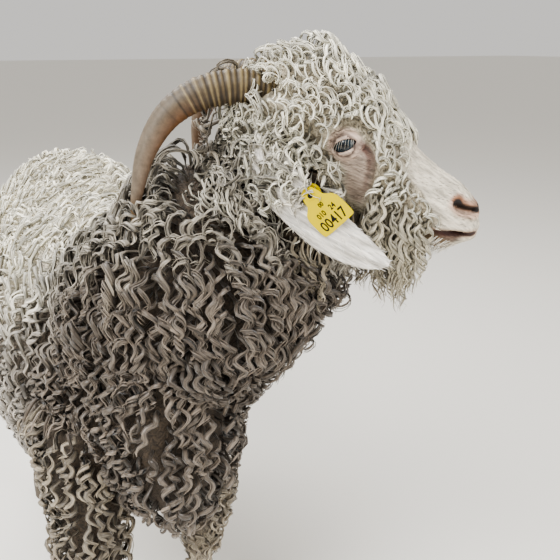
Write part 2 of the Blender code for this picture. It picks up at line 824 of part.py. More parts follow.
def part_body(body):
    """Parts the body into its nodes, each pair with a thin gap between them."""
    half = GAP / 2
    root, ahead = NECK_ROOT
    nodes = {"head": copy_of(body, "head"), "neck": copy_of(body, "neck"), "torso": copy_of(body, "torso")}
    cut(nodes["head"], [beyond(root, -ahead)])
    keep_inside(nodes["head"], head_box(-half / MM))
    cut(nodes["neck"], [beyond(root, -ahead), head_box(half / MM)])
    cutters = [beyond(root, ahead), beyond(*TAIL_CUT)]
    cutters += [leg_box(kind, side, half) for kind, side in LEGS]
    cut(nodes["torso"], cutters)
    nodes["tail"] = cut(copy_of(body, "tail"), [beyond(TAIL_CUT[0], -TAIL_CUT[1])])
    for kind, side in LEGS:
        side_name = "left" if side == LEFT else "right"
        upper, shank = f"{kind}leg_{side_name}_upper", f"{kind}leg_{side_name}_shank"
        joint = KNEE if kind == "fore" else HOCK
        nodes[upper] = keep_inside(copy_of(body, upper), leg_box(kind, side, -half))
        nodes[shank] = copy_of(nodes[upper], shank)
        below_joint = box((-1, -1, -0.2), (1, 1, joint + half))
        cut(nodes[upper], [below_joint])
        above_joint = box((-1, -1, joint - half), (1, 1, 1))
        below_coronet = box((-1, -1, -0.2), (1, 1, CORONET + half))
        cut(nodes[shank], [above_joint, below_coronet])
    remove([body])
    for node in nodes.values():
        drop_slivers(node)
    return nodes


def claw(kind, side, half):
    """One half of a cloven hoof: a slanting block with a flat sole, narrow at the toe."""
    x, y = FOOT[kind, side]
    centre = Vector((x + 0.012, y, 0))
    length, width, height = 0.058, 0.0235, CORONET - GAP / 2
    grows = (0.97, 1.0, 0.86)
    rings, sides = len(grows), 10
    points = []
    for r, grow in enumerate(grows):
        up = r / (rings - 1)
        for s in range(sides):
            turn = 2 * math.pi * s / sides
            toe = max(0.0, math.cos(turn)) ** 1.5
            across = width / 2 * math.sin(turn) * (1 - 0.35 * toe) * grow
            across += half * (width / 2 + 0.0012 - 0.003 * toe)
            forward = length / 2 * math.cos(turn) * grow - 0.010 * up
            points.append(centre + Vector((forward, across, height * up)))
    points += [sum(points[:sides], Vector()) / sides, sum(points[-sides:], Vector()) / sides]
    name = f"claw_{kind}_{'left' if side == LEFT else 'right'}_{'outer' if half == side else 'inner'}"
    return mesh_object(name, points, ring_faces(rings, sides))


def centre_on_floor():
    """Moves the goat so that the origin lies on the floor, under the middle of its box."""
    nodes = list(bpy.context.scene.objects)
    corners = np.array([tuple(vertex.co) for node in nodes for vertex in node.data.vertices])
    low, high = corners.min(axis=0), corners.max(axis=0)
    middle = (low + high) / 2
    for node in nodes:
        node.data.transform(Matrix.Translation((-middle[0], -middle[1], -low[2])))


def build():
    clear_scene()
    fleece = material("fleece", FLEECE, 0.85)
    light = material("head_fleece", FLEECE_LIGHT, 0.85)
    face = material("short_hair", FACE, 0.7)
    horn_stuff = material("horn", HORN, 0.5)
    hoof_stuff = material("hoof", HOOF, 0.5)
    eye_stuff = material("eye", EYE, 0.1)
    tag_stuff = material("tag", TAG, 0.45)

    body = flesh()
    place = head_frame()
    cutters = [mouth_groove()]
    for side in (LEFT, RIGHT):
        cutters += [nostril(side), eye_opening(side)]
        cutters += [horn(side, "horn_room", 1.6, 12), ear(side, "ear_room", 0.7, clear=70)]
        cutters.append(ball("socket", on_side(EYE_PLACE, side), EYE_RADIUS + 0.35, place))
    cutters += [tag_plate("tag_room", spare=1.0, outward=60), tag_button("button_room", spare=1.0)]
    cut(body, cutters)
    for name, obj in part_body(body).items():
        bare = name.endswith("shank")
        obj.data.materials.append(face if bare else light if name == "head" else fleece)
    for side, name in ((LEFT, "left"), (RIGHT, "right")):
        horn(side, f"horn_{name}").data.materials.append(horn_stuff)
        ear_leaf = ear(side, f"ear_{name}")
        if side == RIGHT:
            cut(ear_leaf, [tag_plate("tag_room", spare=GAP / MM), tag_button("button_room", spare=GAP / MM)])
        ear_leaf.data.materials.append(face)
        eye(side, f"eye_{name}").data.materials.append(eye_stuff)
        for kind in ("fore", "hind"):
            for half in (LEFT, RIGHT):
                claw(kind, side, half).data.materials.append(hoof_stuff)
    tag_plate("tag_plate").data.materials.append(tag_stuff)
    tag_button("tag_button").data.materials.append(tag_stuff)
    centre_on_floor()


build()
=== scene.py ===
"""A life-size angora goat doe, standing, with its head turned to its left: its looks."""
import math

import bmesh
import bpy
import numpy as np
from mathutils import Matrix, Vector, kdtree, noise
from mathutils.bvhtree import BVHTree


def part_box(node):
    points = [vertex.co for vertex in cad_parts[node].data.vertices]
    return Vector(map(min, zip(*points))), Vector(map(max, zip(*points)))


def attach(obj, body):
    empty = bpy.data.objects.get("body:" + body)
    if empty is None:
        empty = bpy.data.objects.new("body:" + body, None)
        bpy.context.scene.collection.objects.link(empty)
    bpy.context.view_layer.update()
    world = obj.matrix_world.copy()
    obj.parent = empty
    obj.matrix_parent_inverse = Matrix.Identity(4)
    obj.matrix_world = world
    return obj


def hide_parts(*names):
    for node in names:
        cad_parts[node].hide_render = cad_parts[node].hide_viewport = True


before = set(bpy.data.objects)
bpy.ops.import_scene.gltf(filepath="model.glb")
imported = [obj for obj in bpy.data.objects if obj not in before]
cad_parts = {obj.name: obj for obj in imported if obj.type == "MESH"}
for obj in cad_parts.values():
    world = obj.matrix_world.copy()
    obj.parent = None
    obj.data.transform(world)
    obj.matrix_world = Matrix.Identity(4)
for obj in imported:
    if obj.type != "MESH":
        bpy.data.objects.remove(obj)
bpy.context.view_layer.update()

# The camera stands at the goat's right, a little above its head, and looks slightly down at it, as in the
# photo. It comes first, with the head's own axes, because everything is measured from the head's place.
MM = 0.001
RIGHT, LEFT = -1, 1
SIDE_NAME = {LEFT: "left", RIGHT: "right"}
HEAD_TURN, HEAD_DROP, HEAD_ROLL = math.radians(53), math.radians(29), math.radians(6)
HEAD_PLACE = Vector((0.362, 0.179, 0.762))
CAMERA_PLACE = Vector((0.966, -0.213, 0.850))
DEGREES_DOWN, DEGREES_ROUND = 18.66, 62.7


def eye_centre(side):
    """The middle of an eye's ball, in the head's millimetres."""
    return Vector((0, side * 38.5, 1))


# The head's own axes, in millimetres: x towards the muzzle, y to its left, z up through the brow.
head_axes = Matrix.Rotation(HEAD_TURN, 4, "Z") @ Matrix.Rotation(HEAD_DROP, 4, "Y")
head_axes = head_axes @ Matrix.Rotation(HEAD_ROLL, 4, "X") @ Matrix.Scale(MM, 4)
eye_low, eye_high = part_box("eye_right")
HEAD_ORIGIN = (eye_low + eye_high) / 2 - head_axes @ eye_centre(RIGHT)
HEAD = Matrix.Translation(HEAD_ORIGIN) @ head_axes
# The body's rows and the camera have axes of their own, in which the head's origin is at HEAD_PLACE.
SHIFT = HEAD_ORIGIN - HEAD_PLACE

camera = bpy.data.objects.new("camera", bpy.data.cameras.new("camera"))
bpy.context.scene.collection.objects.link(camera)
camera.data.lens = 45
camera.data.sensor_width = 36
camera.data.clip_start = 0.02
camera.location = CAMERA_PLACE + SHIFT
camera.rotation_euler = (math.radians(90 - DEGREES_DOWN), 0, math.radians(DEGREES_ROUND))
bpy.context.scene.camera = camera

# One hide covers the trunk, neck, legs, tail, head and ears, and the fleece and the short hair grow from
# it. It is lofted part by part from rings, blended into one closed surface and given its folds, and it
# stands for all the body's solids.

# Wool is dense at its root, so the skin takes up this share of the coat's depth along each part.
CORE_SHARE = (0.42, 0.42)
NECK_SHARE = (0.42, 0.42, 0.30, 0.10, 0.05)
HEAD_SHARE = (0.10, 0.10, 0.20, 0.6, 1.0)


def row_at(rows, t):
    """The rows' values on a smooth curve through them, at places t from 0 to 1."""
    place = np.clip(t, 0, 1) * (len(rows) - 1)
    i = np.minimum(place.astype(int), len(rows) - 2)
    f = (place - i)[..., None]
    before, a = rows[np.maximum(i - 1, 0)], rows[i]
    b, after = rows[i + 1], rows[np.minimum(i + 2, len(rows) - 1)]
    steep = (2 * before - 5 * a + 4 * b - after) * f**2
    return 0.5 * (2 * a + (b - before) * f + steep + (3 * a - before - 3 * b + after) * f**3)


def unit(v):
    return v / np.maximum(np.linalg.norm(v, axis=-1, keepdims=True), 1e-9)


def loft(rows, way, rings, sides, share):
    """Rings of points on a body part. Its rows are centre x, y, z, half width, height above and below,
    coat depth, how much it narrows above and below, and how square it is below."""
    rows = np.array([list(row) + [0.0] * (10 - len(row)) for row in rows], float)
    t = np.linspace(0, 1, rings)
    row = row_at(rows, t)
    centre = row[:, :3]
    if way == "spine":
        along = unit(row_at(rows, t + 0.02)[:, :3] - row_at(rows, t - 0.02)[:, :3])
        left = np.stack([-along[:, 1], along[:, 0], 0 * t], axis=1)
        steep = (np.linalg.norm(left, axis=1) < 0.2) | (np.abs(along[:, 2]) > 0.9)
        left[steep] = (0, 1, 0)
        left = unit(left)
        up = unit(np.cross(along, left))
    else:
        left = np.tile((0.0, 1.0, 0.0), (rings, 1))
        up = np.tile((1.0, 0.0, 0.0) if way == "leg" else (0.0, 0.0, 1.0), (rings, 1))
    turn = np.linspace(0, 2 * math.pi, sides, endpoint=False)
    c, s = np.cos(turn)[None, :], np.sin(turn)[None, :]
    width, above, below, coat, top, low, square = (row[:, n, None] for n in (3, 4, 5, 6, 7, 8, 9))
    coat = coat * np.interp(t, np.linspace(0, 1, len(share)), share)[:, None]
    narrow = np.where(s > 0, top * s, -low * s)
    power = np.where(s < 0, 1 / (1 + square), 1.0)
    c = np.sign(c) * np.abs(c) ** power
    s = np.sign(s) * np.abs(s) ** power
    across = (width + coat) * c * (1 - narrow)
    height = (np.where(s > 0, above, below) + coat) * s
    return centre[:, None] + left[:, None] * across[..., None] + up[:, None] * height[..., None]


def band_faces(rings, sides, closed=False):
    """The faces between rings of points, and from the last ring back to the first where it is closed."""
    faces = []
    for r in range(rings if closed else rings - 1):
        a, b = r * sides, (r + 1) % rings * sides
        faces += [(a + s, a + (s + 1) % sides, b + (s + 1) % sides, b + s) for s in range(sides)]
    return faces


def face_outwards(obj, merge_within=None):
    """Turns all faces outwards, after points that lie together are merged."""
    shape = bmesh.new()
    shape.from_mesh(obj.data)
    if merge_within is not None:
        bmesh.ops.remove_doubles(shape, verts=shape.verts, dist=merge_within)
    bmesh.ops.recalc_face_normals(shape, faces=shape.faces)
    shape.to_mesh(obj.data)
    shape.free()


def new_object(name, points, faces):
    mesh = bpy.data.meshes.new(name)
    mesh.from_pydata(points.tolist(), [], faces)
    obj = bpy.data.objects.new(name, mesh)
    bpy.context.scene.collection.objects.link(obj)
    face_outwards(obj)
    return obj


def tube_object(name, grid):
    """A closed object of rings of points, with a pole at each end."""
    rings, sides = grid.shape[:2]
    poles = np.array([grid[0].mean(axis=0), grid[-1].mean(axis=0)])
    end = (rings - 1) * sides
    faces = band_faces(rings, sides)
    faces += [((s + 1) % sides, s, rings * sides) for s in range(sides)]
    faces += [(end + s, end + (s + 1) % sides, rings * sides + 1) for s in range(sides)]
    return new_object(name, np.concatenate([grid.reshape(-1, 3), poles]), faces)


def select_only(*objects):
    for other in bpy.context.selected_objects:
        other.select_set(False)
    for obj in objects:
        obj.select_set(True)
    bpy.context.view_layer.objects.active = objects[0]


def apply(obj, kind, **settings):
    """Adds a modifier with its settings and applies it."""
    modifier = obj.modifiers.new("step", kind)
    for key, value in settings.items():
        setattr(modifier, key, value)
    select_only(obj)
    bpy.ops.object.modifier_apply(modifier=modifier.name)


def join(objects):
    select_only(*objects)
    bpy.ops.object.join()
    return objects[0]


def combine(obj, other, operation="UNION"):
    """Joins another solid to an object, or cuts it out of it."""
    apply(obj, "BOOLEAN", operation=operation, solver="MANIFOLD", object=other)
    bpy.data.objects.remove(other)


def points_of(obj):
    co = np.empty(len(obj.data.vertices) * 3)
    obj.data.vertices.foreach_get("co", co)
    return co.reshape(-1, 3)


def normals_of(obj):
    normal = np.empty(len(obj.data.vertices) * 3, np.float32)
    obj.data.vertex_normals.foreach_get("vector", normal)
    return normal.reshape(-1, 3).astype(float)


def move_points(obj, points):
    obj.data.vertices.foreach_set("co", points.ravel())
    obj.data.update()


def bell(distance, width):
    return np.exp(-((distance / width) ** 2))


def ease(x, low, high):
    """0 at low and before, 1 at high and after, smooth between."""
    f = np.clip((x - low) / (high - low), 0, 1)
    return f * f * (3 - 2 * f)


# The rows that loft reads for each part, in metres, or for the head in its own millimetres.
TORSO = [
    (-0.392, 0.020, 0.535, 0.030, 0.035, 0.045, 0.030),
    (-0.362, 0.020, 0.520, 0.080, 0.093, 0.100, 0.035, 0, 0, 0.1),
    (-0.285, 0.017, 0.500, 0.114, 0.143, 0.130, 0.040, 0, 0, 0.2),
    (-0.190, 0.012, 0.490, 0.122, 0.145, 0.132, 0.042, 0, 0, 0.3),
    (-0.090, 0.006, 0.480, 0.132, 0.138, 0.145, 0.045, 0, 0, 0.35),
    (0.020, 0, 0.475, 0.138, 0.137, 0.155, 0.045, 0, 0, 0.35),
    (0.120, 0, 0.475, 0.118, 0.142, 0.152, 0.045, 0, 0, 0.20),
    (0.200, 0, 0.475, 0.092, 0.142, 0.148, 0.044, 0, 0.15, 0),
    (0.270, 0, 0.470, 0.060, 0.115, 0.130, 0.044, 0, 0.25, 0),
    (0.314, 0, 0.455, 0.036, 0.080, 0.100, 0.042, 0, 0.25, 0),
    (0.334, 0, 0.445, 0.020, 0.040, 0.050, 0.040),
]
NECK = [
    (0.140, 0.000, 0.480, 0.078, 0.090, 0.110, 0.042),
    (0.220, 0.014, 0.555, 0.074, 0.072, 0.100, 0.052),
    (0.278, 0.048, 0.625, 0.070, 0.062, 0.092, 0.056),
    (0.299, 0.092, 0.685, 0.036, 0.068, 0.104, 0.056),
    (0.315, 0.112, 0.745, 0.030, 0.068, 0.092, 0.052),
    (0.327, 0.131, 0.790, 0.034, 0.044, 0.060, 0.045),
]
TAIL = [
    (-0.340, 0.018, 0.585, 0.028, 0.022, 0.022, 0.016),
    (-0.385, 0.020, 0.606, 0.024, 0.018, 0.018, 0.020),
    (-0.418, 0.021, 0.604, 0.019, 0.014, 0.014, 0.022),
    (-0.442, 0.022, 0.588, 0.010, 0.008, 0.008, 0.020),
]
HEAD_ROWS = [
    (-112, 0, 0, 30, 16, 40, 12, 0.1, 0.1),
    (-98, 0, 0, 42, 30, 62, 16, 0.15, 0.2),
    (-72, 0, 0, 48, 44, 78, 30, 0.2, 0.3),
    (-40, 0, 0, 50, 44, 82, 28, 0.2, 0.4),
    (-8, 0, 0, 49, 38, 78, 22, 0.25, 0.45),
    (11, 0, 0, 46, 33, 75, 15, 0.3, 0.45),
    (28, 0, 0, 42, 32, 71, 8, 0.3, 0.45),
    (45, 0, 0, 36, 30, 67, 4, 0.35, 0.4),
    (67, 0, -5, 30, 27, 58, 2, 0.35, 0.35),
    (94, 0, -14, 26.5, 31, 43, 1.5, 0.3, 0.3),
    (118, 0, -16, 25, 31, 36, 1, 0.25, 0.25),
    (132, 0, -17, 24.5, 28, 32, 1, 0.2, 0.2),
    (146, 0, -18, 21, 22, 25, 1, 0.15, 0.2),
    (155, 0, -20, 15, 13, 15, 1, 0.1, 0.2),
    (160, 0, -22, 6, 5, 7, 1, 0.1, 0.2),
]
# Where each leg stands on the floor.
FOOT = {
    ("fore", RIGHT): (0.240, -0.090),
    ("fore", LEFT): (0.175, 0.068),
    ("hind", RIGHT): (-0.315, -0.078),
    ("hind", LEFT): (-0.265, 0.102),
}


def foreleg_rows(x, y):
    """A foreleg, from inside the shoulder down to the coronet."""
    lean = x - 0.205
    return [
        (0.190 + lean * 0.3, y * 0.92, 0.440, 0.036, 0.050, 0.055, 0.026),
        (0.192 + lean * 0.4, y * 0.96, 0.350, 0.031, 0.044, 0.046, 0.026),
        (0.200 + lean * 0.6, y, 0.280, 0.025, 0.030, 0.032, 0.026),
        (0.204 + lean * 0.8, y, 0.225, 0.022, 0.024, 0.023, 0.022),
        (0.206 + lean * 0.85, y, 0.198, 0.021, 0.024, 0.021, 0.012),
        (0.201 + lean * 0.9, y, 0.165, 0.015, 0.016, 0.017, 0.006),
        (0.198 + lean, y, 0.105, 0.0145, 0.015, 0.017, 0.004),
        (0.198 + lean, y, 0.080, 0.018, 0.018, 0.022, 0.004),
        (0.206 + lean, y, 0.055, 0.019, 0.018, 0.020, 0.003),
        (0.214 + lean, y, 0.036, 0.023, 0.024, 0.026, 0.001),
        (0.216 + lean, y, 0.025, 0.023, 0.024, 0.026, 0.001),
    ]


def hindleg_rows(x, y):
    """A hind leg, from inside the thigh down to the coronet."""
    lean = x + 0.290
    return [
        (-0.235 + lean * 0.2, y * 0.97, 0.470, 0.046, 0.095, 0.088, 0.030),
        (-0.232 + lean * 0.3, y * 1.02, 0.400, 0.046, 0.080, 0.080, 0.034),
        (-0.242 + lean * 0.4, y * 1.03, 0.345, 0.038, 0.058, 0.064, 0.034),
        (-0.272 + lean * 0.5, y * 1.01, 0.290, 0.027, 0.035, 0.042, 0.030),
        (-0.306 + lean * 0.7, y, 0.250, 0.020, 0.022, 0.030, 0.020),
        (-0.320 + lean * 0.8, y, 0.222, 0.018, 0.022, 0.022, 0.010),
        (-0.316 + lean * 0.9, y, 0.170, 0.015, 0.017, 0.018, 0.006),
        (-0.306 + lean, y, 0.110, 0.0145, 0.016, 0.017, 0.004),
        (-0.300 + lean, y, 0.080, 0.018, 0.018, 0.022, 0.004),
        (-0.291 + lean, y, 0.055, 0.019, 0.018, 0.020, 0.003),
        (-0.283 + lean, y, 0.036, 0.023, 0.024, 0.026, 0.001),
        (-0.281 + lean, y, 0.025, 0.023, 0.024, 0.026, 0.001),
    ]


# The ear's middle line in the head's millimetres, on its left side, with its half width.
EAR_LINE = [
    (-70, 36, -14, 13),
    (-70, 52, -26, 16),
    (-58, 65, -44, 20),
    (-36, 73, -57, 23),
    (-8, 77, -65, 23),
    (20, 78, -70, 23),
    (46, 77, -73, 21),
    (70, 75, -74, 16),
    (86, 73, -72, 9),
    (95, 71, -70, 3),
]


def ear_grid(side, rings=80, half=22):
    """Rings of a long hanging ear: a cupped leaf with a rolled rim and long folds down its back."""
    line = np.array([(x, side * y, z, w) for x, y, z, w in EAR_LINE], float)
    t = np.linspace(0, 1, rings)
    row = row_at(line, t)
    along = unit(row_at(line, t + 0.02)[:, :3] - row_at(line, t - 0.02)[:, :3])
    out = np.tile((-0.2, side, 0.12), (rings, 1))
    out = unit(out - along * (out * along).sum(axis=1, keepdims=True))
    across = unit(np.cross(along, out))
    grid = []
    for n in range(2 * half):
        face = 1 if n < half else -1
        u = (-1 + 2 * (n % half + 0.5) / half) * face
        wide = row[:, 3]
        thick = 3.2 * (1 - 0.35 * t) / 2
        rim = 1 - 0.55 * abs(u) ** 2 + 0.5 * bell(abs(u) - 0.9, 0.12)
        fold = 0.9 * np.sin(7 * u + 2.2 * t + 0.5) * ease(t, 0.15, 0.4) * ease(1 - t, 0.02, 0.3)
        depth = -0.22 * wide * u * u + face * thick * rim + fold
        ripple = 1 + 0.03 * np.sin(19 * t + 3 * u)
        grid.append(row[:, :3] + across * (wide * u * ripple)[:, None] + out * depth[:, None])
    return np.stack(grid, axis=1)


def moved_by(matrix, points):
    matrix = np.array(matrix)
    return points @ matrix[:3, :3].T + matrix[:3, 3]


def in_goat(points):
    return points + np.array(SHIFT)


def in_head(points):
    """Points in the head's millimetres, in the goat's metres."""
    return moved_by(HEAD, points)


def to_head(points):
    return moved_by(HEAD.inverted(), points)


part_grids = {
    "torso": in_goat(loft(TORSO, "upright", 90, 72, CORE_SHARE)),
    "neck": in_goat(loft(NECK, "spine", 50, 48, NECK_SHARE)),
    "tail": in_goat(loft(TAIL, "spine", 24, 24, CORE_SHARE)),
    "head": in_head(loft(HEAD_ROWS, "upright", 200, 160, HEAD_SHARE)),
}
for (kind, side), (x, y) in FOOT.items():
    rows = foreleg_rows(x, y) if kind == "fore" else hindleg_rows(x, y)
    leg = loft(rows, "leg", 60, 32, CORE_SHARE)
    part_grids[f"{kind}leg_{SIDE_NAME[side]}"] = in_goat(leg)
for side in (LEFT, RIGHT):
    part_grids[f"ear_{SIDE_NAME[side]}"] = in_head(ear_grid(side))
PARTS = list(part_grids)

blended = [name for name in PARTS if name != "head" and not name.startswith("ear_")]
skin = join([tube_object(name, part_grids[name]) for name in blended])
apply(skin, "REMESH", mode="VOXEL", voxel_size=0.007)
apply(skin, "SMOOTH", factor=0.5, iterations=8)


def clear_of_ears(obj, half_width=57.0):
    """Draws the neck in behind the hanging ears, so that they lie free on it."""
    local = to_head(points_of(obj))
    within = ease(local[:, 0], -78, -52) * ease(local[:, 2], -128, -100) * (1 - ease(local[:, 2], 40, 70))
    y = local[:, 1]
    local[:, 1] = y + within * (np.clip(y, -half_width, half_width) - y)
    move_points(obj, in_head(local))


clear_of_ears(skin)
head = tube_object("head_skin", part_grids["head"])


def distance_to_line(points, line):
    """The distance of each point to a line of points, and how far along it the nearest place is."""
    best, at = np.full(len(points), 1e9), np.zeros(len(points))
    line = np.array(line, float)
    for n in range(len(line) - 1):
        a, b = line[n], line[n + 1]
        f = np.clip(((points - a) @ (b - a)) / ((b - a) @ (b - a)), 0, 1)
        d = np.linalg.norm(points - a - f[:, None] * (b - a), axis=1)
        at = np.where(d < best, (n + f) / (len(line) - 1), at)
        best = np.minimum(d, best)
    return best, at


# The middle of the mouth's line from its corner to the lips, and of the nostril's slit from its upper
# end, in the head's millimetres, on its left side.
MOUTH = [
    (108, 27, -43), (116, 26.5, -39), (126, 26, -34), (136, 24, -29), (146, 19, -24), (153, 11, -20),
    (156, 0, -18.5),
]
NOSTRIL = [(125, 24, 0.6), (129, 22.3, -0.8), (134, 20, -0.6), (140, 16.8, 0.6), (146, 12, 2.2)]


def on_side(points, side):
    return [(x, side * y, z) for x, y, z in points]


def flat(points):
    """A line as it is seen from the head's side."""
    return [(x, 0, z) for x, y, z in points]


def shape_head(obj):
    """Presses and raises the head's folds on its own fine rings: lips, nostrils, brow, cheek and chin."""
    local = to_head(points_of(obj))
    out = normals_of(obj) @ np.array(HEAD)[:3, :3] / MM
    push = np.zeros(len(local))
    for side in (LEFT, RIGHT):
        x, y, z = local[:, 0], local[:, 1] * side, local[:, 2]
        here = y > 0
        d, at = distance_to_line(local, on_side(MOUTH, side))
        lips = 1.6 * bell(d - 7, 3.5) - 8.0 * bell(d, 3.0)
        push += here * lips * (0.25 + 0.75 * ease(at, 0, 0.18))
        d, at = distance_to_line(local, on_side(NOSTRIL, side))
        wide = 4.3 - 1.0 * at
        rim = 1.5 * bell(d - 6.8, 2.6) * (z > -30)
        push += here * (rim - 9 * (1 - ease(d, wide - 1.2, wide + 1.6)))
        # The brow over the eye, the cheekbone, and the hollow in front of it.
        push += here * 3.0 * bell(np.hypot(x - 8, z - 22), 12) * (y > 20)
        push += here * 2.0 * bell(np.hypot((x - 48) / 1.6, z + 22), 11) * (y > 15)
        push -= here * 2.2 * bell(np.hypot((x - 66) / 1.4, z + 4), 10) * (y > 12)
    shaped = to_head(points_of(obj) + (out * push[:, None]) @ np.array(HEAD)[:3, :3].T)
    # The bowl of the eye, in which the lids stand.
    for side in (LEFT, RIGHT):
        y = shaped[:, 1] * side
        reach = np.hypot(shaped[:, 0], (shaped[:, 2] - 1) * 1.25)
        bowl = (1 - ease(reach, 12, 20)) * (y > 20)
        shaped[:, 1] = side * (y + bowl * (np.minimum(y, 45.5) - y))
    x, z = shaped[:, 0], shaped[:, 2]
    chin = ease(x, 100, 126) * (1 - ease(x, 146, 158)) * (1 - ease(z, -46, -32))
    shaped[:, 2] = z - 5.5 * chin
    move_points(obj, in_head(shaped))


shape_head(head)


# The opening slants at this angle in the head, and these are its half length and half height, and the
# radii of the ball, of the lids' inside and of the socket, in millimetres.
EYE_SLANT = math.radians(51)
EYE_LENGTH, EYE_HEIGHT = 11.4, 5.9
BALL_RADIUS, LID_RADIUS, SOCKET_RADIUS = 14.0, 14.2, 14.3
# The lid's section: how far it lies from the opening's edge, and how far above its inside.
LID = [
    (0.4, -3.0), (0.0, 0.2), (0.35, 1.3), (1.1, 2.0), (2.2, 2.3), (3.6, 2.2), (4.8, 1.5),
    (6.0, 1.9), (7.6, 2.3), (9.6, 1.6), (12.5, -1.2), (15.5, -6.0), (9.0, -9.0), (3.0, -7.0),
]


def eye_plane(side):
    """The plane of an eye's opening: its centre, the way along it, the way across it, and outwards."""
    along = Vector((math.cos(EYE_SLANT), 0, math.sin(EYE_SLANT)))
    across = Vector((-math.sin(EYE_SLANT), 0, math.cos(EYE_SLANT)))
    return eye_centre(side), along, across, Vector((0, side, 0))


def lid_grid(side, count=96, bend=12.5):
    """A ring of lid round the almond opening. Its section runs from the ball over the rim, the crease
    and the fold above it, and down into the face."""
    centre, ahead, upward, outward = (np.array(v) for v in eye_plane(side))
    turn = np.linspace(0, 2 * math.pi, count, endpoint=False)
    a = EYE_LENGTH * np.cos(turn)
    pointed = 1 - 0.35 * np.abs(np.cos(turn)) ** 3
    b = EYE_HEIGHT * np.sin(turn) * pointed * np.where(np.sin(turn) < 0, 0.82, 1)
    edge = np.stack([a, b], axis=1)
    tangent = np.roll(edge, -1, axis=0) - np.roll(edge, 1, axis=0)
    away = unit(np.stack([tangent[:, 1], -tangent[:, 0]], axis=1))
    upper = np.clip(np.sin(turn), 0, 1)
    grid = []
    for n, (far, high) in enumerate(LID):
        fold = 1.0 * upper * (bell(n - 8, 1.2) - bell(n - 6, 0.8))
        place = edge + away * (far * (1 + 0.15 * upper))[:, None]
        radius = LID_RADIUS + high + fold
        reach = np.hypot(place[:, 0], place[:, 1])
        depth = np.sqrt(np.maximum(radius**2 - np.minimum(reach, bend) ** 2, 1))
        depth = depth - np.maximum(reach - bend, 0) * 0.75
        grid.append(centre + ahead * place[:, :1] + upward * place[:, 1:] + outward * depth[:, None])
    return in_head(np.stack(grid, axis=0))


for side in (LEFT, RIGHT):
    select_only(head)
    bpy.ops.mesh.primitive_uv_sphere_add(
        segments=48, ring_count=24, radius=SOCKET_RADIUS * MM, location=HEAD @ eye_centre(side)
    )
    combine(head, bpy.context.object, "DIFFERENCE")
    lids = lid_grid(side)
    combine(head, new_object("lid", lids.reshape(-1, 3), band_faces(*lids.shape[:2], closed=True)))
    combine(head, tube_object("ear", part_grids[f"ear_{SIDE_NAME[side]}"]))
combine(skin, head)


def put_in_order(obj):
    """Numbers the points and faces by their places, because the joining can number them otherwise."""
    points = points_of(obj)
    order = np.lexsort(points.T)
    rank = np.argsort(order)
    faces = []
    for polygon in obj.data.polygons:
        face = [int(rank[corner]) for corner in polygon.vertices]
        first = face.index(min(face))
        faces.append(face[first:] + face[:first])
    obj.data = bpy.data.meshes.new("skin")
    obj.data.from_pydata(points[order].tolist(), [], sorted(faces))


def smooth(obj):
    select_only(obj)
    bpy.ops.object.shade_smooth()


put_in_order(skin)
skin.name = "skin"
smooth(skin)


def linear(code):
    """A colour given as sRGB hex, as linear red, green and blue."""
    parts = np.array([int(code[n : n + 2], 16) for n in (1, 3, 5)]) / 255
    return np.where(parts <= 0.04045, parts / 12.92, ((parts + 0.055) / 1.055) ** 2.4)


def add(tree, kind, links=(), **settings):
    """Adds a node with its settings. Each link is an input's name, or its number where two inputs have one
    name, with its value or another node's output."""
    made = tree.nodes.new(kind)
    for key, value in settings.items():
        setattr(made, key, value)
    for socket, value in dict(links).items():
        if isinstance(value, bpy.types.NodeSocket):
            tree.links.new(value, made.inputs[socket])
        else:
            made.inputs[socket].default_value = value
    return made


def new_material(name, values):
    """A new material, its nodes and its shader, which is given these values of its own."""
    made = bpy.data.materials.new(name)
    made.use_nodes = True
    shader = made.node_tree.nodes["Principled BSDF"]
    for socket, value in values.items():
        shader.inputs[socket].default_value = value
    return made, made.node_tree, shader


def paint(obj, colours, alpha=1.0):
    """Stores a colour at each point, which the material reads as the tint."""
    layer = obj.data.color_attributes.new("tint", "FLOAT_COLOR", "POINT")
    rgba = np.ones((len(obj.data.vertices), 4))
    rgba[:, :3] = colours
    rgba[:, 3] = alpha
    layer.data.foreach_set("color", rgba.ravel())


# Where the face is bare of wool, in the head's millimetres: inside this outline round the eye, x and z,
# and forward of the muzzle's edge, z and x. The wool stops WOOL_GAP short of both.
EYE_PATCH = [
    (-11, 0), (-8, 9), (-2, 15), (6, 15.5), (16, 12.6), (26, 7), (33, -1), (38, -15), (44, -28),
    (47, -42), (47, -54), (35, -54), (22, -46), (15, -32), (11, -22), (1, -16), (-6, -10),
]
MUZZLE_EDGE = [
    (-60, 112), (-48, 110), (-30, 115), (-20, 112), (-13, 100), (-6, 90), (0, 70), (5, 55), (14, 47),
    (23, 44), (60, 43),
]
WOOL_GAP = 1.5
# The stain that tears leave from the eye's front corner down the cheek, and how far from the middle of
# the head its bare sides begin.
TEAR = [(11, 48, 8), (20, 42, 7), (28, 42, 2), (34, 39, -8), (38, 35, -20), (42, 31, -32)]
FACE_SIDE = 12


def inside(x, z, outline):
    """How far points lie inside an outline, in millimetres: more than 0 inside it."""
    outline = np.array(outline, float)
    within = np.zeros(len(x), bool)
    best = np.full(len(x), 1e9)
    for n in range(len(outline)):
        a, b = outline[n - 1], outline[n]
        way = b - a
        crosses = (a[1] > z) != (b[1] > z)
        with np.errstate(divide="ignore", invalid="ignore"):
            at = way[0] * (z - a[1]) / way[1] + a[0]
        within ^= crosses & (x < at)
        f = np.clip(((x - a[0]) * way[0] + (z - a[1]) * way[1]) / (way @ way), 0, 1)
        best = np.minimum(best, np.hypot(x - a[0] - f * way[0], z - a[1] - f * way[1]))
    return np.where(within, best, -best)


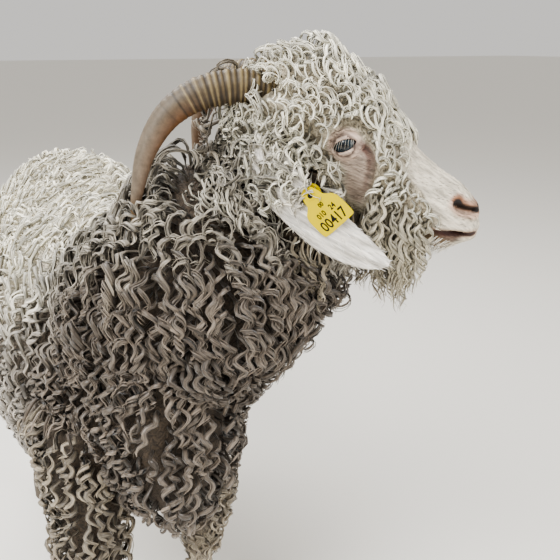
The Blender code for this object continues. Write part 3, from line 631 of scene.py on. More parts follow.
def bare_face(local):
    """How far points of the head lie inside its bare parts, in millimetres."""
    x, z = local[:, 0], local[:, 2]
    edge_z, edge_x = zip(*MUZZLE_EDGE)
    patch = np.where(np.abs(local[:, 1]) > FACE_SIDE, inside(x, z, EYE_PATCH), -99)
    return np.maximum(x - np.interp(z, edge_z, edge_x), patch)


finders = {}
for part, grid in part_grids.items():
    finders[part] = BVHTree.FromPolygons(grid.reshape(-1, 3).tolist(), band_faces(*grid.shape[:2]))


def find_part(points, farthest=0.12):
    """The nearest part of each point, with the place along it and round it, from 0 to 1."""
    part = np.zeros(len(points), int)
    place = np.zeros((len(points), 2))
    for n, point in enumerate(points):
        best = math.inf
        for p, name in enumerate(PARTS):
            _, _, face, far = finders[name].find_nearest(point, min(best, farthest))
            if face is not None and far < best:
                best = far
                part[n] = p
                rings, sides = part_grids[name].shape[:2]
                place[n] = (face // sides / (rings - 1), face % sides / sides)
    return part, place


def is_part(part, *starts):
    return np.isin(part, [n for n, name in enumerate(PARTS) if name.startswith(starts)])


def mix(a, b, share):
    """Colours a with a share of b, which may be given as a code."""
    share = np.asarray(share)[:, None]
    return a * (1 - share) + (linear(b) if isinstance(b, str) else b) * share


def skin_tint(points, part):
    """The hide's colour: wool in shade under the fleece, short white hair and bare pink skin."""
    local = to_head(points)
    x, y, z = local[:, 0], np.abs(local[:, 1]), local[:, 2]
    tint = np.tile(linear("#453a2e"), (len(points), 1))
    tint = mix(tint, "#9b9082", 1 - ease(points[:, 0], 0.03, 0.20))
    tint = mix(tint, "#e0d8c6", ease(points[:, 2], 0.48, 0.60) * (1 - ease(points[:, 0], 0.04, 0.20)))
    face = is_part(part, "head")
    tint[face] = linear("#b3a995")
    tint = mix(tint, "#d3cab9", face * ease(bare_face(local), -2, 3))
    tint = mix(tint, "#b5a496", (face & (y > FACE_SIDE)) * ease(inside(x, z, EYE_PATCH), -1, 6))
    from_side = local * (1, 0, 1)
    for side in (LEFT, RIGHT):
        here = face & (local[:, 1] * side > 0)
        d, at = distance_to_line(local, on_side(TEAR, side))
        tint = mix(tint, "#47190f", here * 0.95 * (1 - ease(d, 2.0, 7.5)) * (1 - 0.5 * at))
        # The nostril: pink skin round it, a brown stain above it, and painted shade, near black, in its
        # hollow.
        d, at = distance_to_line(from_side, flat(NOSTRIL))
        tint = mix(tint, "#c09a84", here * 0.75 * (1 - ease(d, 5, 11)) * (z > -12))
        tint = mix(tint, "#8f6142", here * 0.9 * (1 - ease(d, 5, 9.5)) * (1 - 0.5 * at) * (z > 0))
        tint = mix(tint, "#150b08", here * (1 - ease(d, 3.6 - 0.9 * at, 5.6 - 1.2 * at)))
        # The mouth: pink lips, stain and painted shade on the lower one, painted shade in the slit between
        # them.
        d, at = distance_to_line(from_side, flat(MOUTH))
        tint = mix(tint, "#b79c86", here * 0.7 * (1 - ease(d, 3, 8)) * ease(at, 0, 0.2))
        lip, _ = distance_to_line(from_side + (0, 0, 5), flat(MOUTH))
        lower_lip_stain_and_shade = here * 0.85 * (1 - ease(lip, 4, 10)) * (1 - ease(x, 143, 152)) * ease(at, 0, 0.1)
        tint = mix(tint, "#4b2f22", lower_lip_stain_and_shade)
        tint = mix(tint, "#35170f", here * (1 - ease(d, 2.2, 4.2)) * ease(at, 0, 0.1))
        # The lids: pink skin, dark at their rims.
        rim = np.hypot(x, z - 1)
        lids = face & (local[:, 1] * side > 30)
        tint = mix(tint, "#cdb5a6", lids * 0.8 * (1 - ease(rim, 14, 19)))
        tint = mix(tint, "#3d2a24", lids * 0.85 * (1 - ease(rim, 9.5, 13.0)) * (y < 52))
    chin = face * ease(x, 104, 118) * (1 - ease(z, -42, -34))
    tint = mix(tint, "#8a7357", chin * 0.8 * (1 - ease(x, 138, 148)))
    ear = is_part(part, "ear")
    tint[ear] = linear("#e6e1d8")
    # Grey streaks across the ear are painted shade for its folds.
    fold_shade = np.sin(0.42 * z[ear] + 0.25 * y[ear] - 0.04 * x[ear]) * ease(x[ear], -30, 10)
    tint[ear] = mix(tint[ear], "#a9a296", 0.45 * ease(fold_shade, 0.2, 0.9))
    shank = is_part(part, "foreleg", "hindleg") * (1 - ease(points[:, 2], 0.17, 0.24))
    return mix(tint, "#c6bba6", shank)


skin_points = points_of(skin)
skin_part, _ = find_part(skin_points)
skin_bare = is_part(skin_part, "head") & (bare_face(to_head(skin_points)) > -WOOL_GAP)
skin_bare |= is_part(skin_part, "ear")
skin_bare |= is_part(skin_part, "foreleg", "hindleg") & (skin_points[:, 2] < 0.185)
paint(skin, skin_tint(skin_points, skin_part), np.where(skin_bare, 0.0, 1.0))

# Hide with short hair lying on it: matt, and soft over the lids and nose. Where it is bare of wool, its
# hair shows as streaks about 3 mm wide and 30 mm long, which lie along the muzzle.
hide, tree, shader = new_material("goat_hide", {"Roughness": 0.68})
tint = add(tree, "ShaderNodeAttribute", attribute_name="tint")
place = add(tree, "ShaderNodeTexCoord")
along_face = add(tree, "ShaderNodeMapping", {
    "Vector": place.outputs["Object"],
    "Rotation": (HEAD_ROLL, HEAD_DROP, HEAD_TURN),
    "Scale": (0.030, 0.0032, 0.0032),
}, vector_type="TEXTURE")
streaks = add(tree, "ShaderNodeTexNoise", {
    "Vector": along_face.outputs["Vector"], "Scale": 1.0, "Detail": 3.0,
})
shade = add(tree, "ShaderNodeMapRange", {
    "Value": streaks.outputs["Fac"], "From Min": 0.3, "From Max": 0.7, "To Min": 0.52, "To Max": 1.30,
})
# Under the fleece lies wool in small swirls about 8 mm across.
wool = add(tree, "ShaderNodeTexNoise", {
    "Vector": place.outputs["Object"], "Scale": 120.0, "Detail": 2.0, "Distortion": 2.5,
})
swirl = add(tree, "ShaderNodeMapRange", {
    "Value": wool.outputs["Fac"], "From Min": 0.36, "From Max": 0.64, "To Min": 0.45, "To Max": 1.35,
})
both = add(tree, "ShaderNodeMix", {
    0: tint.outputs["Alpha"], 2: shade.outputs["Result"], 3: swirl.outputs["Result"],
})
tinted = add(tree, "ShaderNodeVectorMath", {
    0: tint.outputs["Color"], 1: both.outputs[0],
}, operation="MULTIPLY")
tree.links.new(tinted.outputs["Vector"], shader.inputs["Base Color"])
curls = add(tree, "ShaderNodeMath", {
    0: wool.outputs["Fac"], 1: tint.outputs["Alpha"],
}, operation="MULTIPLY")
height = add(tree, "ShaderNodeMath", {
    0: curls.outputs["Value"], 1: 5.0, 2: streaks.outputs["Fac"],
}, operation="MULTIPLY_ADD")
bump = add(tree, "ShaderNodeBump", {
    "Height": height.outputs["Value"], "Strength": 0.6, "Distance": 0.0012,
})
tree.links.new(bump.outputs["Normal"], shader.inputs["Normal"])
skin.data.materials.append(hide)
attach(skin, "root")
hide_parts("torso", "neck", "tail", "head", "ear_left", "ear_right")
for kind in ("foreleg", "hindleg"):
    for side in ("left", "right"):
        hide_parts(f"{kind}_{side}_upper", f"{kind}_{side}_shank")

# Each eye is a dark, wet ball with a blue-grey iris and a level slit of a pupil. It is a sphere with a
# slight bulge for the cornea, and it sits in its socket behind the lids.

# A wet cornea mirrors the lights in small bright spots, over an iris with flecks about 1.4 mm apart. The
# iris's radius, half the pupil's length and height, and the cornea's rise are in millimetres.
IRIS_RADIUS, PUPIL_LENGTH, PUPIL_HEIGHT, CORNEA_RISE = 8.0, 5.2, 2.0, 0.7
eyeball, tree, shader = new_material("wet_eyeball", {
    "Roughness": 0.12, "Specular IOR Level": 0.35, "Coat Weight": 0.35,
})
tint = add(tree, "ShaderNodeAttribute", attribute_name="tint")
place = add(tree, "ShaderNodeTexCoord")
flecks = add(tree, "ShaderNodeTexNoise", {
    "Vector": place.outputs["Object"], "Scale": 700.0, "Detail": 3.0,
})
shade = add(tree, "ShaderNodeMapRange", {
    "Value": flecks.outputs["Fac"], "To Min": 0.6, "To Max": 1.4,
})
tinted = add(tree, "ShaderNodeVectorMath", {
    0: tint.outputs["Color"], 1: shade.outputs["Result"],
}, operation="MULTIPLY")
tree.links.new(tinted.outputs["Vector"], shader.inputs["Base Color"])

for side, name in SIDE_NAME.items():
    centre, ahead, upward, outward = (np.array(v) for v in eye_plane(side))
    select_only(skin)
    bpy.ops.mesh.primitive_uv_sphere_add(segments=64, ring_count=48, radius=BALL_RADIUS)
    ball = bpy.context.object
    ball.name = ball.data.name = f"eyeball_{name}"
    co = points_of(ball)
    reach = np.hypot(co[:, 0], co[:, 1])
    front = co[:, 2] > 0
    co[:, 2] += np.where(front, CORNEA_RISE * bell(reach, 6.0), 0)
    # The pupil stays level with the ground while the opening slants.
    tilt = EYE_SLANT - HEAD_DROP
    level = co[:, 0] * math.cos(tilt) - co[:, 1] * math.sin(tilt)
    rising = co[:, 0] * math.sin(tilt) + co[:, 1] * math.cos(tilt)
    iris = front * (1 - ease(reach, IRIS_RADIUS - 0.4, IRIS_RADIUS + 0.4))
    slit = np.hypot(level / PUPIL_LENGTH, rising / PUPIL_HEIGHT)
    pupil = front * (1 - ease(slit, 0.85, 1.05))
    colour = np.tile(linear("#1d1a19"), (len(co), 1))
    colour = mix(colour, "#22313a", iris * (0.35 + 0.65 * ease(reach, 2, 7)))
    paint(ball, mix(colour, "#0c1014", pupil))
    move_points(ball, in_head(co @ np.stack([ahead, upward, outward]) + centre))
    face_outwards(ball)
    smooth(ball)
    ball.data.materials.append(eyeball)
    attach(ball, "root")
    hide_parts(f"eye_{name}")

# Two horns sweep back and down over the neck. Each is a sheath of keratin, grown in rings on a core of
# bone: tan and ridged at its base, smooth and grey later. It stands in the wool of the crown.

# The horn's middle line in the head's millimetres, on its left side, with its radius.
HORN_LINE = [
    (-48, 20, 18, 18.5),
    (-72, 26, 11, 18.5),
    (-98, 34, 3, 18.0),
    (-124, 44, -9, 17.3),
    (-147, 56, -29, 15.8),
    (-161, 69, -58, 13.2),
    (-162, 81, -95, 9.8),
    (-151, 91, -134, 6.0),
    (-140, 96, -164, 2.2),
]
HORN_RINGS, HORN_SIDES = 320, 40
# Weathered keratin: satin, with cracks and pits of 6 mm and less that break the gloss.
keratin, tree, shader = new_material("ringed_horn", {"Roughness": 0.52})
tint = add(tree, "ShaderNodeAttribute", attribute_name="tint")
place = add(tree, "ShaderNodeTexCoord")
grain = add(tree, "ShaderNodeTexNoise", {
    "Vector": place.outputs["Object"], "Scale": 160.0, "Detail": 6.0, "Roughness": 0.65,
})
shade = add(tree, "ShaderNodeMapRange", {
    "Value": grain.outputs["Fac"], "From Min": 0.3, "From Max": 0.7, "To Min": 0.58, "To Max": 1.06,
})
tinted = add(tree, "ShaderNodeVectorMath", {
    0: tint.outputs["Color"], 1: shade.outputs["Result"],
}, operation="MULTIPLY")
tree.links.new(tinted.outputs["Vector"], shader.inputs["Base Color"])
bump = add(tree, "ShaderNodeBump", {
    "Height": grain.outputs["Fac"], "Strength": 0.5, "Distance": 0.0008,
})
tree.links.new(bump.outputs["Normal"], shader.inputs["Normal"])

rng = np.random.default_rng(5)
for side, name in SIDE_NAME.items():
    line = np.array([(x, side * y, z, r) for x, y, z, r in HORN_LINE], float)
    t = np.linspace(0, 1, HORN_RINGS)
    row = row_at(line, t)
    along = unit(row_at(line, t + 0.02)[:, :3] - row_at(line, t - 0.02)[:, :3])
    across = unit(np.cross((0.0, 1.0, 0.0), along))
    upward = np.cross(along, across)
    # Each year's and season's growth leaves a ring, closer and deeper towards the base.
    grown = np.cumsum(0.6 + 0.8 * rng.random(HORN_RINGS)) / HORN_RINGS
    ridges = np.sin(2 * math.pi * (46 * grown)) + 0.5 * np.sin(2 * math.pi * 19 * grown + 1)
    deep = 0.75 * (1 - ease(t, 0.42, 0.68)) + 0.10
    turn = np.linspace(0, 2 * math.pi, HORN_SIDES, endpoint=False)
    ring = ridges[:, None] * deep[:, None] * (0.75 + 0.25 * np.cos(turn[None, :] * 2))
    size = row[:, 3][:, None] + ring * 0.55 - 0.5 * deep[:, None]
    grid = row[:, None, :3] + across[:, None] * (size * np.cos(turn))[..., None]
    grid = in_head(grid + upward[:, None] * (size * 0.82 * np.sin(turn))[..., None])
    horn = tube_object(f"horn_sheath_{name}", grid)
    # The colour goes from base to tip. It is darker below: painted shade, and farther on also the horn's own
    # orange-brown. The grooves carry painted shade and the crests a painted highlight.
    below = -((grid[:, :, 2] - in_head(row[:, :3])[:, None, 2]) / (size * MM)).ravel()
    crest = np.repeat(ridges * deep, HORN_SIDES)
    t = np.repeat(t, HORN_SIDES)
    tint = mix(np.tile(linear("#5f4f33"), (len(t), 1)), "#5f5240", ease(t, 0.35, 0.55))
    tint = mix(tint, "#766a5b", ease(t, 0.55, 0.75))
    tint = mix(tint, "#7d6440", ease(t, 0.86, 0.97))
    under = ease(below, -0.35, 0.7)
    tint = mix(tint, "#3f2f1e", under * 0.9 * (1 - ease(t, 0.45, 0.6)))
    tint = mix(tint, "#6d4422", under * 0.8 * ease(t, 0.45, 0.6))
    # Painted shade in the grooves between the rings, and a painted highlight on their crests.
    tint = mix(tint, "#2a2013", 0.8 * ease(-crest, 0.05, 0.7))
    tint = mix(tint, "#a8966c", 0.5 * ease(crest, 0.3, 0.9))
    paint(horn, np.concatenate([tint, tint[:1], tint[-1:]]))
    smooth(horn)
    horn.data.materials.append(keratin)
    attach(horn, "root")
    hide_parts(f"horn_{name}")

# Eight claws, two to a foot, stand flat on the floor. Each is a wall of dark horn that has grown down from
# the coronet in level rings, rounded at the toe and straight where it lies along its fellow.
CORONET, CLAW_LENGTH, CLAW_WIDTH = 0.03785, 0.058, 0.0235
CLAW_AHEAD, HALF_CLEFT = 0.012, 0.0012

# Dry horn: satin, with streaks 2 mm wide and about 17 mm high.
hoof_horn, tree, shader = new_material("hoof_horn", {"Roughness": 0.5})
place = add(tree, "ShaderNodeTexCoord")
stretched = add(tree, "ShaderNodeMapping", {"Vector": place.outputs["Object"], "Scale": (500, 500, 60)})
grain = add(tree, "ShaderNodeTexNoise", {
    "Vector": stretched.outputs["Vector"], "Scale": 1.0, "Detail": 4.0,
})
dark = add(tree, "ShaderNodeMix", {
    0: grain.outputs["Fac"], 6: (*linear("#2c2620"), 1), 7: (*linear("#6b5e4e"), 1),
}, data_type="RGBA")
tree.links.new(dark.outputs[2], shader.inputs["Base Color"])
bump = add(tree, "ShaderNodeBump", {
    "Height": grain.outputs["Fac"], "Strength": 0.4, "Distance": 0.0006,
})
tree.links.new(bump.outputs["Normal"], shader.inputs["Normal"])

up = np.linspace(0, 1, 40)[:, None]
turn = np.linspace(0, 2 * math.pi, 48, endpoint=False)[None, :]
# The wall flares to the floor, and its growth rings stand out a little all round.
grow = 1 - 0.03 * (1 - up) ** 2 * (up < 0.5) - 0.14 * ease(up, 0.4, 1.05) + 0.008 * np.sin(46 * up)
toe = np.maximum(0, np.cos(turn)) ** 1.5
for (kind, side), (x, y) in FOOT.items():
    for half in (LEFT, RIGHT):
        across = CLAW_WIDTH / 2 * np.sin(turn) * (1 - 0.35 * toe) * grow
        across = across + half * (CLAW_WIDTH / 2 + HALF_CLEFT - 0.003 * toe)
        forward = CLAW_LENGTH / 2 * np.cos(turn) * grow - 0.010 * up
        ring = np.stack([x + CLAW_AHEAD + forward, y + across, CORONET * up + 0 * turn], axis=-1)
        claw_name = f"{kind}_{SIDE_NAME[side]}_{'outer' if half == side else 'inner'}"
        claw = tube_object(f"hoof_{claw_name}", in_goat(ring))
        smooth(claw)
        claw.data.materials.append(hoof_horn)
        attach(claw, "root")
        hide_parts(f"claw_{claw_name}")

# A yellow flag tag hangs from the right ear. It is moulded in one with its stud, which goes through the
# ear into a round button behind it, and black digits are printed on it.
TAG_PLACE = HEAD @ Matrix.Translation((-4, -80.8, -47.5)) @ Matrix.Rotation(math.radians(-74), 4, "Y")
TAG_PLACE = TAG_PLACE @ Matrix.Rotation(math.radians(2.5), 4, "X")
# All in the tag's millimetres: half its outline, its thickness, how far the stud reaches, how far each of
# its layers is drawn in from the outline and at which depth, how the print stands out and is made bold
# and narrow, and each number's size and place.
TAG_SIDE = [(6, 6.5), (8.8, 0), (10, -7), (17, -12), (19.5, -18), (19.5, -38), (17, -40.5)]
TAG_MIDDLE = np.array((0, -20.0))
TAG_THICK, STUD_REACH = 1.6, 8.6
TAG_LAYERS = [
    (0.35, -TAG_THICK), (0.1, -TAG_THICK + 0.1), (0, -TAG_THICK + 0.35), (0, -0.35), (0.1, -0.1), (0.35, 0),
]
PRINT_RAISED, PRINT_BOLD, PRINT_NARROW = 0.12, 0.22, 0.78
DIGITS = [
    ("00417", 15.0, 0.0, -32.0), ("010", 8.0, -5.5, -21.0), ("24", 8.0, 8.0, -21.0), ("00", 6.5, 1.0, -13.0),
]


def in_tag(points):
    """Points in the tag's millimetres, in the goat's metres."""
    return moved_by(TAG_PLACE, points)


def disc(name, radii, depths, sides=48):
    """A turned piece along the tag's depth: a radius and a depth for each of its rings."""
    turn = np.linspace(0, 2 * math.pi, sides, endpoint=False)
    rings = []
    for radius, depth in zip(radii, depths):
        rings.append(np.stack([radius * np.cos(turn), 0 * turn + depth, radius * np.sin(turn)], axis=1))
    return tube_object(name, in_tag(np.stack(rings)))


outline = np.array([(0, 9)] + TAG_SIDE + [(-x, z) for x, z in reversed(TAG_SIDE)], float)
for _ in range(3):
    after = np.roll(outline, -1, axis=0)
    rounded = np.stack([0.8 * outline + 0.2 * after, 0.2 * outline + 0.8 * after], axis=1)
    outline = rounded.reshape(-1, 2)
flag = []
for shrink, depth in TAG_LAYERS:
    edge = outline - unit(outline - TAG_MIDDLE) * shrink
    flag.append(np.stack([edge[:, 0], np.full(len(edge), depth), edge[:, 1]], axis=1))
tag = tube_object("tag_flag", in_tag(np.stack(flag)))
combine(tag, disc("stud", [2.6, 2.6, 1.6], [-0.4, STUD_REACH, STUD_REACH + 1.8]))
combine(tag, disc("rim", [4.6, 4.2, 3.8], [-1.0, -2.2, -2.3]))
combine(tag, disc("button", [8.0, 8.8, 8.8, 8.0], [6.4, 7.0, 9.2, 10.0]))

printed = []
for text, size, x, z in DIGITS:
    select_only(skin)
    bpy.ops.object.text_add()
    number = bpy.context.object
    number.data.body = text
    number.data.size = size
    number.data.extrude = PRINT_RAISED
    number.data.offset = PRINT_BOLD
    number.data.resolution_u = 3
    number.data.align_x = "CENTER"
    number.data.align_y = "CENTER"
    select_only(number)
    bpy.ops.object.convert(target="MESH")
    co = points_of(number)
    co = np.stack([co[:, 0] * PRINT_NARROW + x, -TAG_THICK - co[:, 2], co[:, 1] + z], axis=1)
    move_points(number, in_tag(co))
    printed.append(number)
printed.append(disc("dot", [2.5, 2.4], [-2.0, -2.5]))
digits = join(printed)
digits.name = digits.data.name = "tag_digits"
face_outwards(digits, merge_within=0.01 * MM)
# Moulded polyurethane and ink: smooth, faintly glossy and evenly coloured.
for obj, name, colour in ((tag, "tag_polyurethane", "#d4be00"), (digits, "tag_ink", "#0d0d0b")):
    stuff, tree, shader = new_material(name, {
        "Base Color": (*linear(colour), 1), "Roughness": 0.42, "Specular IOR Level": 0.3,
    })
    obj.data.materials.clear()
    obj.data.materials.append(stuff)
    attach(obj, "root")
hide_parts("tag_plate", "tag_button")

# Long lustrous ringlets grow in staples over the whole goat but its face, ears and shanks. Each lock is a
# ribbon of mohair with a few hairs of its own beside it. They curl together round the way that they lie,
# and are darker at the root, partly from a dirtier undercoat and partly from painted shade deep in the coat.
def skin_samples(count, seed, here):
    """Many even places on the skin where it is wanted: the points, and the way out."""
    draw = np.random.default_rng(seed)
    mesh = skin.data
    mesh.calc_loop_triangles()
    corners = np.empty(len(mesh.loop_triangles) * 3, np.int32)
    mesh.loop_triangles.foreach_get("vertices", corners)
    corners = corners.reshape(-1, 3)
    co = points_of(skin)
    out = normals_of(skin)
    a, b, c = (co[corners[:, n]] for n in range(3))
    area = np.linalg.norm(np.cross(b - a, c - a), axis=1) / 2 * here[corners].all(axis=1)
    face = draw.choice(len(area), count, p=area / area.sum())
    u, v = draw.random(count), draw.random(count)
    over = u + v > 1
    u, v = np.where(over, 1 - u, u), np.where(over, 1 - v, v)
    w = 1 - u - v
    weight = np.stack([w, u, v], axis=1)[..., None]
    points = (co[corners[face]] * weight).sum(axis=1)
    return points, unit((out[corners[face]] * weight).sum(axis=1))


def spread_out(points, spacing):
    """The points that are kept when each keeps its own spacing from those before it."""
    cell = spacing.max()
    taken, kept = {}, []
    for n, (point, gap) in enumerate(zip(points, spacing)):
        key = tuple((point // cell).astype(int))
        near = False
        for i in (-1, 0, 1):
            for j in (-1, 0, 1):
                for k in (-1, 0, 1):
                    for other in taken.get((key[0] + i, key[1] + j, key[2] + k), ()):
                        if ((points[other] - point) ** 2).sum() < gap * gap:
                            near = True
                            break
        if not near:
            taken.setdefault(key, []).append(n)
            kept.append(n)
    return np.array(kept)


def atlas(part, place, cells=4, border=0.03):
    """Where a place on a part lies on the coat's map: each part has its own cell."""
    column, row = part % cells, part // cells
    inner = border + (1 - 2 * border) * place[:, ::-1]
    return (np.stack([column, row], axis=1) + inner) / cells


# A hair's and a ribbon's corners: across, above and their share of the colour, which is painted shade on the
# lower corners and a painted highlight on the upper ones. Each lock has a patch of this size on the coat's
# map.
HAIR = ((0.0, 1.0, 1.05), (-0.87, -0.5, 0.95), (0.87, -0.5, 0.95))
RIBBON = ((-1.0, -0.4, 0.66), (1.0, -0.4, 0.62), (0.5, 0.85, 1.08), (-0.5, 0.85, 1.02))
PATCH = 0.003


def tubes(name, paths, widths, thicks, sideways, tints, patches, section):
    """Many tapering hairs or ribbons of hair as one closed mesh. Paths are points along each. Each lies
    with its broad way towards sideways, has a colour at each ring, and its own small patch on the coat's
    map. The section is its corners: across, above and their share of the colour, which paints shade below
    and a highlight above."""
    count, rings = paths.shape[:2]
    sides = len(section)
    across, above, shade = (np.array(column) for column in zip(*section))
    along = unit(np.gradient(paths, axis=1))
    broad = unit(sideways - along * (sideways * along).sum(axis=2, keepdims=True))
    thin = np.cross(along, broad)
    ring = broad[:, :, None] * (across[:, None] * widths[:, :, None, None] / 2)
    ring = ring + thin[:, :, None] * (above[:, None] * thicks[:, :, None, None] / 2)
    points = (paths[:, :, None] + ring).reshape(-1, 3)
    start = np.arange(count)[:, None, None] * rings * sides
    r, q = np.arange(rings - 1)[None, :, None], np.arange(sides)[None, None, :]
    a, b = start + r * sides + q, start + r * sides + (q + 1) % sides
    quads = np.stack([a, a + sides, b + sides, b], axis=-1).reshape(-1, 4)
    base = np.arange(count) * rings * sides
    first = base[:, None] + np.arange(sides)
    caps = np.concatenate([first, base[:, None] + (rings - 1) * sides + np.arange(sides)[::-1]])
    mesh = bpy.data.meshes.new(name)
    mesh.vertices.add(len(points))
    mesh.vertices.foreach_set("co", points.ravel())
    corners = np.concatenate([quads.ravel(), caps.ravel()])
    mesh.loops.add(len(corners))
    mesh.loops.foreach_set("vertex_index", corners.astype(np.int32))
    mesh.polygons.add(len(quads) + len(caps))
    starts = np.concatenate([np.arange(len(quads)) * 4, len(quads) * 4 + np.arange(len(caps)) * sides])
    mesh.polygons.foreach_set("loop_start", starts.astype(np.int32))
    mesh.update(calc_edges=True)
    mesh.shade_smooth()
    uv = mesh.uv_layers.new(name="OFBake")
    ring_at = np.tile(np.repeat(np.linspace(0, 1, rings), sides), count)
    side_at = np.tile(np.arange(sides) / (sides - 1), count * rings)
    spread = np.repeat(patches, rings * sides, axis=0)
    spread = spread + PATCH * np.stack([side_at - 0.5, ring_at - 0.5], axis=1)
    uv.data.foreach_set("uv", spread[corners].astype(np.float32).ravel())
    # A second map has millimetres across a ribbon and along it, so that its hairs run lengthwise.
    steps = np.linalg.norm(np.diff(paths, axis=1), axis=2)
    run = np.concatenate([np.zeros((count, 1)), np.cumsum(steps, axis=1)], axis=1)
    breadth = across * 0.5 * widths[:, :, None] / MM + 40 * np.arange(count)[:, None, None]
    lengthwise = np.broadcast_to((run / MM)[:, :, None], breadth.shape)
    strip = np.stack([breadth, lengthwise], axis=-1).reshape(-1, 2)
    hair_map = mesh.uv_layers.new(name="Hair")
    hair_map.data.foreach_set("uv", strip[corners].astype(np.float32).ravel())
    uv.active = True
    uv.active_render = True
    obj = bpy.data.objects.new(name, mesh)
    bpy.context.scene.collection.objects.link(obj)
    # Each corner keeps its share of the ring's colour: painted shade on the lower side, a painted highlight
    # on the upper.
    paint(obj, (tints[:, :, None] * shade[:, None]).reshape(-1, 3))
    return obj


surface = BVHTree.FromObject(skin, bpy.context.evaluated_depsgraph_get())
STEPS = 10


def ways_over_skin(place, out, lie, length, least=0.0005):
    """Each lock's way from its root in STEPS points: along its lie, kept out of the skin, and drawn down
    where it is free. With it comes the way out of the skin at each point."""
    at, way = place.copy(), lie.copy()
    points, outs = [at], [out]
    for step in range(1, STEPS):
        at = at + way * (length / (STEPS - 1))[:, None]
        near, normal = np.empty_like(at), np.empty_like(at)
        for n, point in enumerate(at):
            near[n], normal[n], _, _ = surface.find_nearest(point)
        height = ((at - near) * normal).sum(axis=1)
        sunk = (height < least)[:, None]
        at = np.where(sunk, near + normal * least, at)
        inward = np.minimum((way * normal).sum(axis=1), 0)[:, None]
        way = unit(np.where(sunk, way - normal * inward, way + np.array((0, 0, -0.10))))
        points.append(at)
        outs.append(unit(outs[-1] + normal))
    return np.stack(points, axis=1), np.stack(outs, axis=1)


def between(steps, s):
    """Values at the shares s of a run of steps."""
    at = np.clip(s, 0, 1) * (steps.shape[1] - 1)
    i = np.minimum(at.astype(int), steps.shape[1] - 2)
    f = at - i
    f = f[..., None]
    rows = np.arange(len(steps))[:, None]
    before, after = np.maximum(i - 1, 0), np.minimum(i + 2, steps.shape[1] - 1)
    a, b, c, d = steps[rows, before], steps[rows, i], steps[rows, i + 1], steps[rows, after]
    return 0.5 * (2 * b + (c - a) * f + (2 * a - 5 * b + 4 * c - d) * f**2 + (3 * b - a - 3 * c + d) * f**3)


# A piece of the coat has at most this many faces.
MOST_FACES = 190000


def ringlets(name, roots, hairs, samples, seed):
    """Curling locks on their roots: a ribbon of hair and some hairs of its own beside it. Each runs out
    from the skin, bends to the coat's lie and winds round it."""
    draw = np.random.default_rng(seed)
    run, outs = ways_over_skin(roots["place"], roots["out"], roots["lie"], roots["length"])
    made = []
    for kind, count, section in (("ribbon", 1, RIBBON), ("hair", hairs, HAIR)):
        pick = np.repeat(np.arange(len(run)), count)
        m = len(pick)
        get = {}
        for key, value in roots.items():
            get[key] = value[pick][:, None, None] if value.ndim == 1 else value[pick][:, None]

        def vary(spread):
            """A factor for each strand: 1, give or take the spread."""
            return 1 + spread * (draw.random((m, 1, 1)) * 2 - 1)

        ribbon = kind == "ribbon"
        loose = 0.0 if ribbon else 1.0
        s = np.linspace(0, 1, samples)[None, :, None]
        reach = np.broadcast_to((s * vary(0.03 + 0.05 * loose) * 0.95)[..., 0], (m, samples))
        base, out = between(run[pick], reach), unit(between(outs[pick], reach))
        lie = unit(np.gradient(base, axis=1))
        lie = unit(lie - out * (lie * out).sum(axis=2, keepdims=True))
        radius = get["radius"] * vary(0.04 + 0.16 * loose)
        lift = get["lift"] * vary(0.03) + 0.0006 * loose
        # The winding's axis leans from the lie to the way out, so that some curls show as open rings.
        lean = get["lean"]
        axis = unit(lie * np.cos(lean) + out * np.sin(lean))
        first = unit(out * np.cos(lean) - lie * np.sin(lean))
        second = np.cross(axis, first)
        rise = 1 - (1 - np.minimum(s / 0.28, 1)) ** 2
        drop = 1 - 0.25 * s**2
        base = base - out * 0.004 + out * ((lift + 0.004) * rise * drop) + get["gather"] * s**1.4
        wind = get["phase"] + get["hand"] * 2 * math.pi * get["turns"] * s + 0.45 * loose * (vary(1) - 1)
        grow = np.clip(s / 0.22, 0, 1)
        wide = radius * grow * grow * (3 - 2 * grow) * (1 - 0.35 * s)
        paths = base + first * (wide * get["flatter"] * np.cos(wind))
        paths = paths + second * (wide * get["sweep"] * np.sin(wind))
        beside = np.zeros((m, 1, 1)) if ribbon else draw.random((m, 1, 1)) * 2 - 1
        # A lock in a staple lies with its broad side up; a loose one winds like a ribbon round a finger.
        broad = np.where(get["facing"] > 0.5, np.cross(out, lie), axis)
        paths = paths + broad * (beside * get["width"] * 0.62 * (0.6 + 0.4 * s))
        paths = paths + radius * 0.40 * loose * s * (draw.random((m, 1, 3)) - 0.5)
        end = np.clip(1 - s**3, 0.02, 1) ** 0.6 * (0.55 + 0.45 * np.clip(s / 0.15, 0, 1))
        full = get["width"] if ribbon else get["fine"]
        widths = (full * end * vary(0.22))[..., 0]
        thicks = widths * (0.36 if ribbon else 0.75)
        # Each lock darkens towards its root: partly a dirtier undercoat, partly painted shade deep in the
        # coat.
        root_dirt_and_shade = get["deep"] * (1 - s) ** 1.2
        # The loose hairs are painted lighter than their ribbon, as a painted highlight on the lock.
        tints = get["tint"] * (vary(0.12) * (1 - root_dirt_and_shade) * (0.96 if ribbon else 1.14))
        patches = roots["patch"][pick]
        most = MOST_FACES // (2 * len(section) * (samples - 1) + 2 * (len(section) - 2))
        for number, begin in enumerate(range(0, m, most)):
            part = slice(begin, begin + most)
            made.append(tubes(
                f"{name}_{kind}_{number}", paths[part], widths[part], thicks[part], broad[part],
                tints[part], patches[part], section,
            ))
    return made


